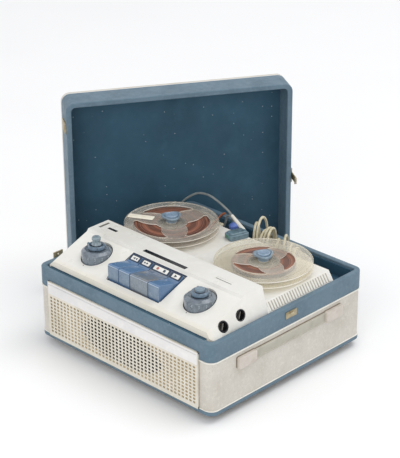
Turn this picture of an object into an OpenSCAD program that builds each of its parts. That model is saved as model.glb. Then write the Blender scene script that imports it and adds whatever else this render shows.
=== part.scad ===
// Portable valve tape recorder with its lift-off lid standing behind it.
// Millimetres. Origin: middle of the case's underside. +X right, +Y back, +Z up.

/* [Case] */
// Width of the case
case_w = 360; // [340:1:400]
// Depth of the case
case_d = 325; // [310:1:360]
// Height of the lower blue band
base_band_h = 7; // [5:0.5:12]
// Height of the pale walls
wall_h = 78; // [74:1:95]
// Height of the upper blue band
rim_h = 30; // [26:1:40]
// Thickness of the case walls
wall_t = 9; // [7:0.5:10]
// Radius of the case's upright corners
corner_r = 14; // [11:1:20]
// How far the blue bands stand proud of the pale walls
band_proud = 1; // [0.5:0.1:2]
// Thickness of the bottom board
bottom_t = 5; // [4:0.5:8]

/* [Feet] */
// Height of a rubber foot
foot_h = 12; // [11:0.5:16]
// Diameter of a rubber foot
foot_d = 20; // [16:1:24]
// Distance from the case's sides to a foot's middle
foot_inset = 42; // [40:1:60]

/* [Grille and speaker] */
// Width of the front grille
grille_w = 312; // [280:1:320]
// Height of the front grille
grille_h = 90; // [86:1:94]
// Thickness of the front grille
grille_t = 3; // [2:0.5:5]
// Height of the plain strip along the top of the grille
grille_strip_h = 21; // [18:1:26]
// Spacing of the grille's holes along the width
hole_pitch_x = 7.4; // [6.5:0.1:9]
// Spacing of the grille's holes along the height
hole_pitch_z = 5.6; // [5:0.1:7]
// Width of one grille hole
hole_w = 3.8; // [3:0.1:5]
// Height of one grille hole
hole_h = 2.8; // [2:0.1:3.6]
// Width of the loudspeaker's oval opening
speaker_w = 160; // [130:1:180]
// Height of the loudspeaker's oval opening
speaker_h = 58; // [50:1:60]
// Depth of the loudspeaker behind its board
speaker_depth = 46; // [36:1:48]

/* [Deck] */
// Height of the reel deck above the rim
deck_rise = 12; // [9:0.5:16]
// Height of the control panel's ledge above the rim
ledge_rise = 38; // [34:0.5:41]
// Height of the control panel's front lip above the rim
lip_rise = 8; // [6:0.5:12]
// Depth of the ledge behind the control slope
ledge_d = 41; // [38:0.5:46]
// Wall thickness of the moulded deck covers
cover_t = 3; // [2:0.25:3.5]
// Depth of the control slope from its lip to the ledge
slope_d = 71.5; // [68:0.5:74]
// Depth of the storage tray's floor below the rim
tray_drop = 22; // [20:0.5:26]

/* [Reels] */
// Diameter of a reel
reel_d = 146; // [127:1:147]
// Distance between the two reel spindles
reel_pitch = 190; // [180:1:196]
// Distance from the deck's back edge to the reel spindles
reel_setback = 67; // [60:1:70]
// Overall thickness of a reel
reel_h = 10; // [9:0.5:12]
// Thickness of a reel's flange
flange_t = 1.5; // [1:0.1:2]
// Diameter of a reel's hub
hub_d = 46; // [40:1:52]
// Diameter of the tape wound on the supply reel
supply_tape_d = 118; // [70:1:122]
// Diameter of the tape wound on the take-up reel
takeup_tape_d = 94; // [56:1:122]
// Diameter of the reel spindles
spindle_d = 7.8; // [7:0.1:8]

/* [Controls] */
// Width of a narrow key
key_w = 22.5; // [20:0.5:24]
// Width of the wide key
wide_key_w = 36.5; // [30:0.5:38]
// Gap between neighbouring keys
key_gap = 0.7; // [0.5:0.1:1.2]
// Height of the keys' front edge above the control slope
key_rise = 23.5; // [18:0.5:25]
// Distance between the middles of the two dials
dial_pitch = 213; // [205:1:220]
// Diameter of a dial's skirt
skirt_d = 46; // [38:1:50]
// Height of a dial skirt's cone above its rim
skirt_h = 3.5; // [3:0.5:5]
// Diameter of the pointer ring on a dial
pointer_d = 26; // [20:0.5:30]
// Diameter of the socket bores for the leads
socket_d = 13.5; // [12.5:0.1:14.5]

/* [Handle] */
// Length of the handle over its end caps
handle_l = 222; // [190:1:240]
// Height of the handle's end caps
handle_h = 18; // [15:0.5:24]
// Length of one end cap
cap_l = 36; // [28:1:40]
// How far the end caps stand out
cap_out = 6.5; // [6:0.25:9]

/* [Lid] */
// Depth of the lid
lid_depth = 48.5; // [47:0.5:60]
// Thickness of the lid's walls
lid_wall_t = 8.5; // [6:0.5:9]
// Thickness of the lid's outer panel
lid_panel_t = 5; // [3:0.5:6]
// Angle of the standing lid about the upright axis
lid_yaw = 58; // [56:1:60]

/* [Leads] */
// Diameter of the mains lead
mains_d = 4; // [3:0.1:4.4]
// Loops in the stowed mains lead
mains_loops = 9; // [6:1:9]
// Diameter of the microphone lead
mic_lead_d = 3.6; // [3:0.1:4.2]
// Length of the microphone
mic_l = 34; // [30:1:38]
// Width of the microphone
mic_w = 21.5; // [18:0.5:24]
// Height of the microphone
mic_h = 11; // [10:0.5:13]

/* [Hidden] */
$fn = 48;
eps = 0.01;
over = 1;          // how far a cut runs past what it cuts
run_fit = 0.05;   // radial clearance of a shaft that turns in its hole
seat_gap = 0.3;   // clearance between curved faces that only seat

x_out = case_w / 2;
y_out = case_d / 2;
x_in = x_out - wall_t;
y_in = y_out - wall_t;
x_wall = x_out - band_proud;
y_wall = y_out - band_proud;
z_wall = base_band_h;
z_band = z_wall + wall_h;
z_rim = z_band + rim_h;

screw_d = 3;
screw_room = 0.2;
screw_head_d = 7;
screw_head_h = 2;
screw_slot = 1;
foot_taper = 2;
grille_edge = 4;
grille_corner_r = 2;

plate_t = 2;
plate_corner_r = 8;
wall_room = 0.5;   // clearance between the inner pieces and the case walls
plate_drop = 20;
z_plate = z_rim - plate_drop;
z_plate_low = z_plate - plate_t;

cover_gap = 1;
x_deck = x_in - cover_gap;
y_front = -(y_in - cover_gap);
skirt_drop = 3;
z_skirt = z_rim - skirt_drop;
z_deck = z_rim + deck_rise;
z_ledge = z_rim + ledge_rise;
z_lip = z_rim + lip_rise;
lip_run = 3;
y_lip = y_front + lip_run;
y_ledge_front = y_lip + slope_d;
y_ledge_back = y_ledge_front + ledge_d;
reel_room = 2.5;
reel_y = y_ledge_back + reel_room + reel_d / 2;
y_deck_back = reel_y + reel_setback;

post_w = 18;
post_room = 4;
post_inset = post_w / 2 + post_room;
post_x = x_in - post_inset;
post_ys = [post_inset - y_in, y_deck_back - post_w];

panel_draft = 11.5;
panel_steps = 14;
deck_bevel = 10;
panel_corner_r = 10;
riser_h = 4;       // the small step from the slope up to the ledge
riser_run = 3;
y_foot = y_ledge_front - riser_run;
slope_rise = (z_ledge - riser_h - z_lip) / (y_foot - y_lip);
slope_angle = atan(slope_rise);
function slope_z(y) = z_lip + slope_rise * (y - y_lip);

speaker_z = z_wall + wall_h / 2;
board_t = 8;
board_edge = 30;
board_room = 4;
basket_t = 2;
basket_edge = 8;
leg_x = 40;
leg_w = 12;
leg_rise = 4;
yoke_w = 94;
yoke_h = 42;
yoke_t = 3;
yoke_hole_d = 38;
magnet_d = 44;
magnet_l = 14;
throat_d = 28;
cone_t = 1.5;
cone_room = 4;

reel_x = reel_pitch / 2;
reel_shift = -3;
table_d = 60;
table_t = 5;
table_gap = 2.5;
z_table = z_deck + table_gap;
z_reel = z_table + table_t;
spindle_over = 4;
clamp_neck_d = 16;
clamp_neck_h = 6;
clamp_head_d = 26;
clamp_head_h = 6;
clamp_lobe_d = 33;
// Reel windows: inner and outer radius, half widths there and middle, in degrees
supply_windows = [25, 58, 13, 46, 23];
takeup_windows = [25, 46, 16, 43, 37];
window_steps = 8;

bank_w = 3 * key_w + wide_key_w + 3 * key_gap;
key_widths = [key_w, key_w, wide_key_w, key_w];
function key_left(i) = i == 0 ? -bank_w / 2 : key_left(i - 1) + key_widths[i - 1] + key_gap;
bank_gap = 1.2;
bank_front = 3.2;   // room in front of the keys, which swing forward as they go down
key_setback = 13;
key_crease = 8;     // room between the keys and the ledge
key_label_d = 12;
key_dip = 8.5;
key_lift = 3.5;
y_key_front = y_lip + key_setback;
y_key_back = y_ledge_front - key_crease;
y_key_dip = y_key_back - key_label_d;
z_key_top = slope_z(y_key_front) + key_rise;
z_key_dip = z_key_top - key_dip;
z_key_back = slope_z(y_key_back) + key_lift;
axle_d = 5.9;
axle_back = 6;
axle_up = 22;
y_axle = y_ledge_front + axle_back;
z_axle = z_plate + axle_up;
hub_r = 6;
key_skirt = 9;
lug_t = 3;
lug_gap = 3;
lug_x = bank_w / 2 + lug_gap;

dial_back = 4.75;
dial_y = (y_lip + y_ledge_front) / 2 + dial_back;
dial_x = dial_pitch / 2;
dial_z = slope_z(dial_y);
skirt_rim = 6;      // height of the skirt's rim above the middle of its well
well_gap = 1;
well_room = 1;
skirt_sink = slope_rise * (skirt_d / 2 + well_gap) + well_room;
outer_shaft_d = 10;
inner_shaft_d = 6;
dial_gap = 0.5;
pot_d = 24;
pot_l = 16;
shaft_in = 10;
left_cap = [13, 12.5];            // diameter and height
right_cap = [14, 3.5];
pointer_h = 6;
left_turn = 190;
right_turn = 145;

socket_flange_d = 17;
socket_l = 12;
socket_back = [27.5, 61.5];        // how far behind the lip each socket sits
socket_up = [11.5, 16.5];
socket_spots = [for (i = [0, 1]) [y_lip + socket_back[i], z_skirt + socket_up[i]]];
socket_proud = 0.8;
socket_floor = 2;

head_setback = 10;
head_y = y_ledge_back - head_setback;
capstan_x = 28;
capstan_d = 6;
flywheel_d = 76;
flywheel_t = 12;
flywheel_drop = 6;
z_flywheel = z_plate_low - flywheel_drop - flywheel_t;
capstan_over = 5;
motor_inset = 65;
motor_front = 28.5;
motor_x = x_in - motor_inset;
motor_y = reel_y - motor_front;
motor_d = 66;
motor_h = 62;
pulley_d = 13;
z_belt = z_flywheel + flywheel_t / 2;
belt_w = 4;
belt_t = 1.2;
motor_drop = 3;
z_motor_top = z_flywheel - motor_drop;
pinch_side = 1;
pinch_x = capstan_x + pinch_side;
pinch_d = 18;
pinch_rest = 3;
pinch_pin_d = 4;
lever_w = 7;
lever_t = 3;
lever_lift = 4;
lever_l = 34;
z_lever = z_plate + lever_lift;
pinch_h = 12;
pinch_y = head_y - (capstan_d + pinch_d) / 2 - pinch_rest;
pinch_pivot_x = pinch_x + lever_l;
z_tape = z_reel + reel_h / 2;

handle_drop = 17.5;
handle_z = z_band - handle_drop;
strap_t = 1.6;
strap_rest = 0.3;
cap_skin = 1.4;
catch_w = 23;
catch_h = 10;
catch_t = 1.5;
catch_drop = 12;
ear_inset = 42;
catch_z = z_rim - catch_drop;
ear_y = y_out - ear_inset;

lid_clear = [20, 39];      // how far the lid's middle stands in from the case's back left corner
lid_x = lid_clear[0] - x_out;
lid_y = y_out - lid_clear[1];
lid_floor = -foot_h;
lining_t = 1.5;
knuckle_r = 2.6;
catch_pin_r = 1.4;
catch_x = x_out + knuckle_r + seat_gap;
catch_depth = 14;
catch_reach = 26;
catch_half = 5.3;
hasp_t = 1.6;
catch_mid = case_d / 2;

tray_t = 2;
tray_corner_r = 8;
tray_step = 4;
z_tray = z_rim - tray_drop;
y_tray = y_deck_back + tray_t;
y_tray_in = y_in - wall_room - tray_t;
tray_mid_y = (y_tray + y_tray_in) / 2;

cord_sides = 6;
tube_sides = 8;
loop_steps = 24;
loop_pitch = 10.1;
loop_bunch = 0.05;        // how uneven the loops lie: bunched along the run, swaying and heaving
loop_sway = 4.7;
loop_heave = 0.2;
loop_swell = 1.5;
loop_waves = [1.5, 1.28, 3.4];
loop_phase = 122;
loop_y_r = 16;
loop_z_first = 26;
loop_z_last = 15;
loop_lean = 0.55;
loop_x = -14;
gland_x = loop_x + mains_loops * loop_pitch;
gland_d = 9;
gland_l = 6;
z_cord_floor = z_tray + mains_d / 2 + seat_gap;
plug_w = 24;
plug_t = 14;
plug_l = 34;
plug_neck = 8;
plug_neck_w = 10;
pin_d = 4;
pin_l = 19;
pin_pitch = 19;
plug_run = 66;
plug_shift = 6;
lead_shift = 9.5;
plug_x = loop_x - plug_run;
plug_y = tray_mid_y + plug_shift;
lead_y = tray_mid_y + lead_shift;
z_plug = z_tray + plug_t / 2;

mic_x = -12;
mic_setback = 13;
mic_y = y_deck_back - mic_setback;
mic_turn = 73;
mic_round = 5;
mic_crown = 3;
mic_inset = 3;
sleeve_d = 6.5;
sleeve_l = 40;
sleeve_grip = 1.4;
mic_plug_d = 15;
mic_plug_step = 12;
mic_plug_neck = 4;

// Route of the microphone lead, from the sleeve to the plug in the tray
mic_route = [
    [-46, 118, 144], [-58, 122, 147], [-72, 125, 150], [-88, 128, 153], [-104, 130, 155],
    [-120, 131, 154], [-134, 131, 150], [-147, 129, 142], [-157, 125, 133], [-163, 121, 122],
    [-164, 119, 110], [-160, 118, 101], [-151, 117, 96], [-139, 115, 95], [-120, 113, 95],
    [-102, 113, 95], [-88, 114, 97], [-77, 118, 102], [-70, 121, 111], [-66, 123, 121],
    [-64, 124, 130], [-63, 124, 134], [-60, 124, 137], [-56, 124, 138], [-52, 124, 137],
    [-49, 124, 134], [-48, 124, 131], [-48, 124, 130]];

blue = "#5f7a8c";
deep_blue = "#2f4a5a";
beige = "#d4cfc8";
cream = "#ece8dd";
white = "#f2f1ec";
dial_blue = "#7d95a6";
key_blue = "#6f8fb0";
metal = "#a9a9a4";

// A flat outline with round corners, centred on the origin
module rounded(w, d, r) {
    square([w - 2 * r, d], center = true);
    square([w, d - 2 * r], center = true);
    for (sx = [-1, 1], sy = [-1, 1])
        translate([sx * (w / 2 - r), sy * (d / 2 - r)]) circle(r);
}

// A flat outline with half-round ends along the width
module oval(w, d) {
    square([w - d, d], center = true);
    for (s = [-1, 1]) translate([s * (w - d) / 2, 0]) circle(d / 2);
}

// A frame of the case: outer size, wall and corner radius
module case_frame(w, d, wall, r, h) {
    linear_extrude(h) difference() {
        rounded(w, d, r);
        rounded(w - 2 * wall, d - 2 * wall, max(r - wall, 2));
    }
}

// Carries an outline drawn in Y and Z along X, between two places
module along_x(x0, x1) {
    translate([x0, 0, 0]) rotate([90, 0, 90]) linear_extrude(x1 - x0) children();
}

// Carries an outline drawn in X and Z along Y, between two places
module along_y(y0, y1) {
    translate([0, y1, 0]) rotate([90, 0, 0]) linear_extrude(y1 - y0) children();
}

// Puts what is drawn round Z upright in a dial's well, level with the slope at its middle
module at_dial(side) {
    translate([side * dial_x, dial_y, dial_z]) children();
}

// Puts what is drawn round Z onto the panel's right end, square to its twisted face
module on_end(spot) {
    rise = slope_z(spot[0]) - z_skirt;
    up = spot[1] - z_skirt;
    lean = panel_draft / rise;
    twist = panel_draft * up * slope_rise / (rise * rise);
    translate([x_deck - lean * up, spot[0], spot[1]])
        rotate([0, 90 - atan2(lean, norm([1, twist])), atan2(-twist, 1)]) children();
}

module at_reel(side) {
    translate([side * reel_x + reel_shift, reel_y, 0]) children();
}

// The standing lid's own frame: length along X, opening at y = 0, depth along +Y, height along Z
module on_lid() {
    translate([lid_x, lid_y, lid_floor]) rotate([0, 0, lid_yaw]) children();
}

module case_walls() {
    color(beige) difference() {
        translate([0, 0, z_wall])
            case_frame(2 * x_wall, 2 * y_wall, wall_t - band_proud, corner_r - band_proud, wall_h);
        translate([0, 0, speaker_z]) along_y(-y_out, -y_in + 1) oval(speaker_w, speaker_h);
    }
}

module rim_band() {
    color(blue) translate([0, 0, z_band]) case_frame(case_w, case_d, wall_t, corner_r, rim_h);
}

module base_band() {
    color(blue) case_frame(case_w, case_d, wall_t, corner_r, base_band_h);
}

module at_screws() {
    for (s = [-1, 1], y = post_ys) translate([s * post_x, y, 0]) children();
}

module bottom_board() {
    color("#8a6f4e") difference() {
        linear_extrude(bottom_t) rounded(2 * x_in, 2 * y_in, corner_r);
        at_screws() translate([0, 0, -over]) cylinder(d = screw_d + 2 * screw_room, h = bottom_t + 2 * over);
    }
}

module rubber_feet() {
    color("#2b2b2b") for (sx = [-1, 1], sy = [-1, 1])
        translate([sx * (x_out - foot_inset), sy * (y_out - foot_inset), -foot_h])
            cylinder(d1 = foot_d - foot_taper, d2 = foot_d, h = foot_h);
}

module bottom_screws() {
    color(metal) at_screws() {
        translate([0, 0, -screw_head_h]) difference() {
            cylinder(d = screw_head_d, h = screw_head_h);
            translate([-screw_head_d, -screw_slot / 2, -over])
                cube([2 * screw_head_d, screw_slot, over + screw_head_h / 2]);
        }
        cylinder(d = screw_d, h = bottom_t);
    }
}

module grille_holes() {
    room_x = grille_w - 2 * grille_edge;
    room_z = grille_h - grille_strip_h - grille_edge;
    across = floor(room_x / hole_pitch_x);
    up = floor(room_z / hole_pitch_z);
    for (i = [0:across - 1], j = [0:up - 1])
        translate([(i - (across - 1) / 2) * hole_pitch_x, grille_edge + (j + 0.5) * hole_pitch_z])
            square([hole_w, hole_h], center = true);
}

module front_grille() {
    color(cream) translate([0, 0, z_wall]) along_y(-y_out - grille_t, -y_out) difference() {
        translate([0, grille_h / 2]) rounded(grille_w, grille_h, grille_corner_r);
        grille_holes();
    }
}

module speaker_board() {
    color("#9b7b52") translate([0, 0, speaker_z]) along_y(-y_in, -y_in + board_t) difference() {
        square([speaker_w + 2 * board_edge, wall_h - 2 * board_room], center = true);
        oval(speaker_w, speaker_h);
    }
}

module speaker_frame() {
    y0 = -y_in + board_t;
    y1 = y0 + speaker_depth - magnet_l;
    color("#6f7377") translate([0, 0, speaker_z]) {
        along_y(y0, y0 + basket_t) difference() {
            oval(speaker_w + 2 * basket_edge, speaker_h + 1.5 * basket_edge);
            oval(speaker_w, speaker_h);
        }
        for (s = [-1, 1]) along_x(s * leg_x - leg_w / 2, s * leg_x + leg_w / 2) for (up = [-1, 1])
            polygon([[y0 + basket_t / 2, up * speaker_h / 2],
                [y0 + basket_t / 2, up * (speaker_h / 2 + leg_rise)],
                [y1, up * yoke_h / 2], [y1, up * (yoke_h / 2 - leg_rise)]]);
        along_y(y1 - yoke_t, y1) difference() {
            square([yoke_w, yoke_h], center = true);
            circle(d = yoke_hole_d);
        }
        along_y(y1, y1 + magnet_l) circle(d = magnet_d);
    }
}

module speaker_cone() {
    y0 = -y_in + board_t;
    y1 = y0 + speaker_depth - magnet_l;
    wide = speaker_w - 2 * cone_room;
    tall = speaker_h - 2 * cone_room;
    color("#4a4038") translate([0, 0, speaker_z]) difference() {
        hull() {
            along_y(y0 + eps, y0 + over) oval(wide, tall);
            along_y(y1 - 2 * over, y1 - over) circle(d = throat_d, $fn = 32);
        }
        hull() {
            along_y(y0 - over, y0 + 2 * eps) oval(wide - 2 * cone_t, tall - 2 * cone_t);
            along_y(y1 - 3 * over - cone_t, y1 - 2 * over - cone_t)
                circle(d = throat_d - 2 * cone_t, $fn = 32);
        }
    }
}

// One section across the control panel: bottom, skirt and top
function panel_section(y, x_low, x_top, low, top) = [[-x_low, y, low], [-x_low, y, min(z_skirt, top - eps)],
    [-x_top, y, top], [x_top, y, top], [x_low, y, min(z_skirt, top - eps)], [x_low, y, low]];

// The wedge of the control panel with its twisted ends, drawn in by a wall thickness
module panel_form(t) {
    low = t > 0 ? z_plate - over : z_plate;
    drop = t / cos(slope_angle);
    back = y_ledge_back - t;
    foot = y_foot + t;
    x_low = x_deck - t;
    x_top = x_deck - panel_draft - t;
    slope_y = [for (i = [0:panel_steps]) y_lip + t + (foot - y_lip - t) * i / panel_steps];
    sections = concat([panel_section(y_front + t, x_low, x_low - 1, low, z_skirt)],
        [for (y = slope_y) panel_section(y, x_low, x_top, low, slope_z(y) - drop)],
        [for (y = [y_ledge_front + t, back]) panel_section(y, x_low, x_top, low, z_ledge - t)]);
    count = len(sections);
    n = len(sections[0]);
    walls = [for (i = [0:count - 2], k = [0:n - 1], half = [0, 1]) let (a = i * n + k, b = i * n + (k + 1) % n)
        half == 0 ? [a, a + n, b] : [b, a + n, b + n]];
    front = [[for (k = [0:n - 1]) k]];
    rear = [[for (k = [n - 1:-1:0]) (count - 1) * n + k]];
    intersection() {
        polyhedron(points = [for (row = sections) each row], faces = concat(walls, front, rear));
        translate([0, (y_front + y_ledge_back) / 2 + panel_corner_r, low - over]) linear_extrude(z_ledge)
            rounded(2 * x_low, y_ledge_back - y_front + 2 * panel_corner_r - 2 * t, panel_corner_r - t);
    }
}

// Places and sizes of the flat inserts on the ledge: x, y, width, depth
ledge_mid = (y_ledge_front + y_ledge_back) / 2;
inserts = [[0, y_ledge_front + 6, 86, 6], [-dial_x - 21, ledge_mid + 1, 19, 5],
    [-dial_x - 43, ledge_mid + 4, 5, 21], [dial_x + 2, ledge_mid - 4, 32, 6]];
insert_t = 1.5;
insert_sink = 1.2;
insert_room = 0.1;
slot_w = 140;
slot_h = 13;
slot_lift = 1;

module control_panel() {
    color(white) difference() {
        panel_form(0);
        panel_form(cover_t);
        translate([-bank_w / 2 - bank_gap, y_key_front - bank_front, z_plate])
            cube([bank_w + 2 * bank_gap, y_key_back - y_key_front + bank_front + bank_gap, z_ledge]);
        for (s = [-1, 1]) at_dial(s) translate([0, 0, -2 * skirt_sink])
            cylinder(d = skirt_d + 2 * well_gap, h = 4 * skirt_sink);
        for (p = socket_spots) on_end(p) translate([0, 0, -socket_l])
            cylinder(d = socket_flange_d + 2 * seat_gap, h = 2 * socket_l);
        translate([-slot_w / 2, y_ledge_back - cover_t - over, z_deck + slot_lift])
            cube([slot_w, cover_t + 2 * over, slot_h]);
        for (p = inserts) translate([p[0], p[1], z_ledge - insert_sink])
            linear_extrude(insert_sink + over) square([p[2], p[3]], center = true);
    }
}

module panel_inserts() {
    color("#1e1f22") for (p = inserts) translate([p[0], p[1], z_ledge - insert_sink])
        linear_extrude(insert_t) square([p[2] - 2 * insert_room, p[3] - 2 * insert_room], center = true);
}

rib_pitch = 5.6;
rib_w = 3;
rib_t = 2;
rib_end = 2;
rib_edge = 5;
rib_count = floor((y_deck_back - y_ledge_back - 2 * rib_edge + rib_pitch - rib_w) / rib_pitch);
spindle_room = 3;

module reel_deck() {
    bevel = atan(deck_bevel / (z_deck - z_skirt));
    rib_l = (z_deck - z_skirt) / cos(bevel) - 2 * rib_end;
    color(white) difference() {
        union() {
            along_y(y_ledge_back, y_deck_back) polygon([[-x_deck, z_plate], [-x_deck, z_skirt],
                [-x_deck + deck_bevel, z_deck], [x_deck - deck_bevel, z_deck], [x_deck, z_skirt],
                [x_deck, z_plate]]);
            for (s = [-1, 1], i = [0:rib_count - 1])
                translate([s * x_deck, y_ledge_back + rib_edge + i * rib_pitch, z_skirt])
                    rotate([0, -s * bevel, 0]) translate([-rib_t / 2, 0, rib_end]) cube([rib_t, rib_w, rib_l]);
        }
        along_y(y_ledge_back - over, y_deck_back - cover_t) polygon([
            [-x_deck + cover_t, z_plate - over], [-x_deck + cover_t, z_skirt],
            [-x_deck + deck_bevel + cover_t, z_deck - cover_t],
            [x_deck - deck_bevel - cover_t, z_deck - cover_t], [x_deck - cover_t, z_skirt],
            [x_deck - cover_t, z_plate - over]]);
        for (s = [-1, 1]) at_reel(s) cylinder(d = spindle_d + 2 * spindle_room, h = 2 * z_deck);
    }
}

bearing_wall = 4;
bearing_h = 8;
pinch_pin_h = 9;
pulley_room = 3;

module chassis_plate() {
    color("#b4b6b2") difference() {
        union() {
            translate([0, 0, z_plate_low]) linear_extrude(plate_t)
                translate([0, (y_deck_back - tray_t - y_in + wall_room) / 2])
                    rounded(2 * (x_in - wall_room), y_in + y_deck_back - tray_t - wall_room, plate_corner_r);
            for (s = [-1, 1]) translate([s * (lug_x + lug_t / 2), y_axle, 0]) {
                translate([-lug_t / 2, -hub_r, z_plate - eps])
                    cube([lug_t, 2 * hub_r, z_axle - z_plate]);
                translate([-lug_t / 2, 0, z_axle]) rotate([0, 90, 0]) cylinder(r = hub_r, h = lug_t);
            }
            for (s = [-1, 1]) at_reel(s) translate([0, 0, z_plate - eps])
                cylinder(d = spindle_d + 2 * bearing_wall, h = bearing_h);
            translate([capstan_x, head_y, z_plate - eps])
                cylinder(d = capstan_d + 2 * bearing_wall, h = bearing_h);
            translate([pinch_pivot_x, pinch_y, z_plate - eps]) cylinder(d = pinch_pin_d, h = pinch_pin_h);
        }
        for (s = [-1, 1]) at_reel(s) cylinder(d = spindle_d + 2 * run_fit, h = 2 * z_plate);
        translate([capstan_x, head_y, 0]) cylinder(d = capstan_d + 2 * run_fit, h = 2 * z_plate);
        translate([motor_x, motor_y, 0]) cylinder(d = pulley_d + 2 * pulley_room, h = 2 * z_plate);
        translate([-2 * lug_x, y_axle, z_axle]) rotate([0, 90, 0])
            cylinder(d = axle_d + 2 * run_fit, h = 4 * lug_x);
    }
}

module chassis_posts() {
    color("#b08d5e") for (s = [-1, 1]) {
        for (y = post_ys) translate([s * post_x, y, (bottom_t + z_plate_low) / 2])
            cube([post_w, post_w, z_plate_low - bottom_t], center = true);
        translate([s * post_x, y_in - post_inset, (bottom_t + z_tray - tray_t) / 2])
            cube([post_w, post_w, z_tray - tray_t - bottom_t], center = true);
    }
}

// The tray's outline: square at the deck, round at the case's back corners
module tray_outline(shrink) {
    w = 2 * (x_in - wall_room - shrink);
    d = y_in - wall_room - y_deck_back - 2 * shrink;
    translate([0, y_deck_back + shrink + d / 2]) rounded(w, d, min(tray_corner_r, d / 2 - eps) - shrink);
    translate([-w / 2, y_deck_back + shrink]) square([w, d / 2]);
}

module storage_tray() {
    rim_low = z_rim - tray_step;
    color(deep_blue) {
        difference() {
            translate([0, 0, z_tray - tray_t]) linear_extrude(rim_low - z_tray + tray_t) tray_outline(0);
            translate([0, 0, z_tray]) linear_extrude(rim_low) tray_outline(tray_t);
        }
        translate([gland_x, y_tray - eps, z_cord_floor]) rotate([-90, 0, 0]) intersection() {
            cylinder(d = gland_d, h = gland_l);
            cube([gland_d, 2 * (z_cord_floor - z_tray), 3 * gland_l], center = true);
        }
    }
}

module din_sockets() {
    color("#17181a") for (p = socket_spots) on_end(p) difference() {
        translate([0, 0, -socket_l]) cylinder(d = socket_flange_d, h = socket_l + socket_proud);
        translate([0, 0, -socket_l + socket_floor]) cylinder(d = socket_d, h = socket_l);
    }
}

head_xs = [-34, -6];
head_size = [14, 12];
guide_xs = [-56, 38];
guide_d = 5;
guide_flange_d = 8;
guide_flange_t = 1.5;
tape_half = 3.6;
head_base = [110, 14, 2];
head_base_x = -67;

module head_assembly() {
    z_base = z_plate + head_base[2];
    color("#c9c9c4") {
        difference() {
            translate([head_base_x, head_y - 9, z_plate]) cube(head_base);
            translate([capstan_x, head_y, z_plate - over])
                cylinder(d = capstan_d + 2 * bearing_wall + 2, h = head_base[2] + 2 * over);
        }
        for (x = head_xs) translate([x - head_size[0] / 2, head_y - 8, z_base - eps])
            cube([head_size[0], head_size[1], z_tape + tape_half + guide_flange_t - z_base]);
        for (x = guide_xs) translate([x, head_y, 0]) {
            translate([0, 0, z_base - eps])
                cylinder(d = guide_d, h = z_tape + tape_half + 2 * guide_flange_t - z_base);
            translate([0, 0, z_tape + tape_half]) cylinder(d = guide_flange_d, h = guide_flange_t);
            translate([0, 0, z_tape - tape_half - guide_flange_t])
                cylinder(d = guide_flange_d, h = guide_flange_t);
        }
    }
}

motor_shaft_d = 5;
motor_shaft_in = 20;
motor_leg_d = 7;
shaft_end_room = 2;

module motor_body() {
    color("#7c8084") translate([motor_x, motor_y, z_motor_top - motor_h]) {
        difference() {
            cylinder(d = motor_d, h = motor_h);
            translate([0, 0, motor_h - motor_shaft_in])
                cylinder(d = motor_shaft_d + 2 * run_fit, h = motor_shaft_in + over);
        }
        for (a = [30, 150, 270]) rotate(a) translate([motor_d / 2 - 5, 0, 0])
            cylinder(d = motor_leg_d, h = z_plate_low - z_motor_top + motor_h);
    }
}

module motor_pulley() {
    color("#c7b27a") translate([motor_x, motor_y, 0]) {
        translate([0, 0, z_motor_top + over]) cylinder(d = pulley_d, h = z_plate_low - z_motor_top - 2 * over);
        translate([0, 0, z_motor_top - motor_shaft_in + shaft_end_room])
            cylinder(d = motor_shaft_d, h = motor_shaft_in);
    }
}

module drive_belt() {
    span_x = motor_x - capstan_x;
    span_y = motor_y - head_y;
    module loop(grow) {
        hull() {
            circle(flywheel_d / 2 + grow);
            translate([norm([span_x, span_y]), 0]) circle(pulley_d / 2 + grow);
        }
    }
    color("#232323") translate([capstan_x, head_y, z_belt - belt_w / 2]) rotate(atan2(span_y, span_x))
        linear_extrude(belt_w) difference() {
            loop(seat_gap + belt_t);
            loop(seat_gap);
        }
}

module flywheel() {
    color("#8d8f90") translate([capstan_x, head_y, 0]) {
        translate([0, 0, z_flywheel]) cylinder(d = flywheel_d, h = flywheel_t);
        translate([0, 0, z_flywheel]) cylinder(d = capstan_d, h = z_tape + capstan_over - z_flywheel);
        translate([0, 0, z_flywheel + flywheel_t])
            cylinder(d = capstan_d + 2 * bearing_wall, h = flywheel_drop - seat_gap);
    }
}

module pinch_lever() {
    color("#a4a5a0") difference() {
        union() {
            translate([pinch_pivot_x, pinch_y, z_plate + seat_gap])
                cylinder(d = lever_w, h = pinch_pin_h - over);
            translate([pinch_x, pinch_y - lever_w / 2, z_lever]) cube([lever_l, lever_w, lever_t]);
            translate([pinch_x, pinch_y, z_lever]) cylinder(d = lever_w, h = lever_t);
            translate([pinch_x, pinch_y, z_lever + lever_t - eps])
                cylinder(d = pinch_pin_d, h = z_tape + capstan_over - z_lever);
        }
        translate([pinch_pivot_x, pinch_y, z_plate - over])
            cylinder(d = pinch_pin_d + 2 * run_fit, h = pinch_pin_h + 2 * over);
    }
}

module pinch_roller() {
    color("#2a2a2a") translate([pinch_x, pinch_y, z_tape - pinch_h / 2]) difference() {
        cylinder(d = pinch_d, h = pinch_h);
        translate([0, 0, -over]) cylinder(d = pinch_pin_d + 2 * run_fit, h = pinch_h + 2 * over);
    }
}

core_limb = 8;

// A transformer: laminated core with a coil round its middle
module core_and_coil(size) {
    cube([size[0], size[1] / 2, size[2]], center = true);
    cube([size[0] - 2 * core_limb, size[1], size[2] - 2 * core_limb], center = true);
}

mains_core = [64, 56, 58];
mains_core_spot = [53 - x_in, y_in - 117.5];
output_core = [42, 36, 34];
output_core_spot = [53 - x_in, 91.5 - y_in];

module mains_transformer() {
    color("#5b5a58") translate([mains_core_spot[0], mains_core_spot[1], bottom_t + mains_core[2] / 2])
        core_and_coil(mains_core);
}

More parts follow.
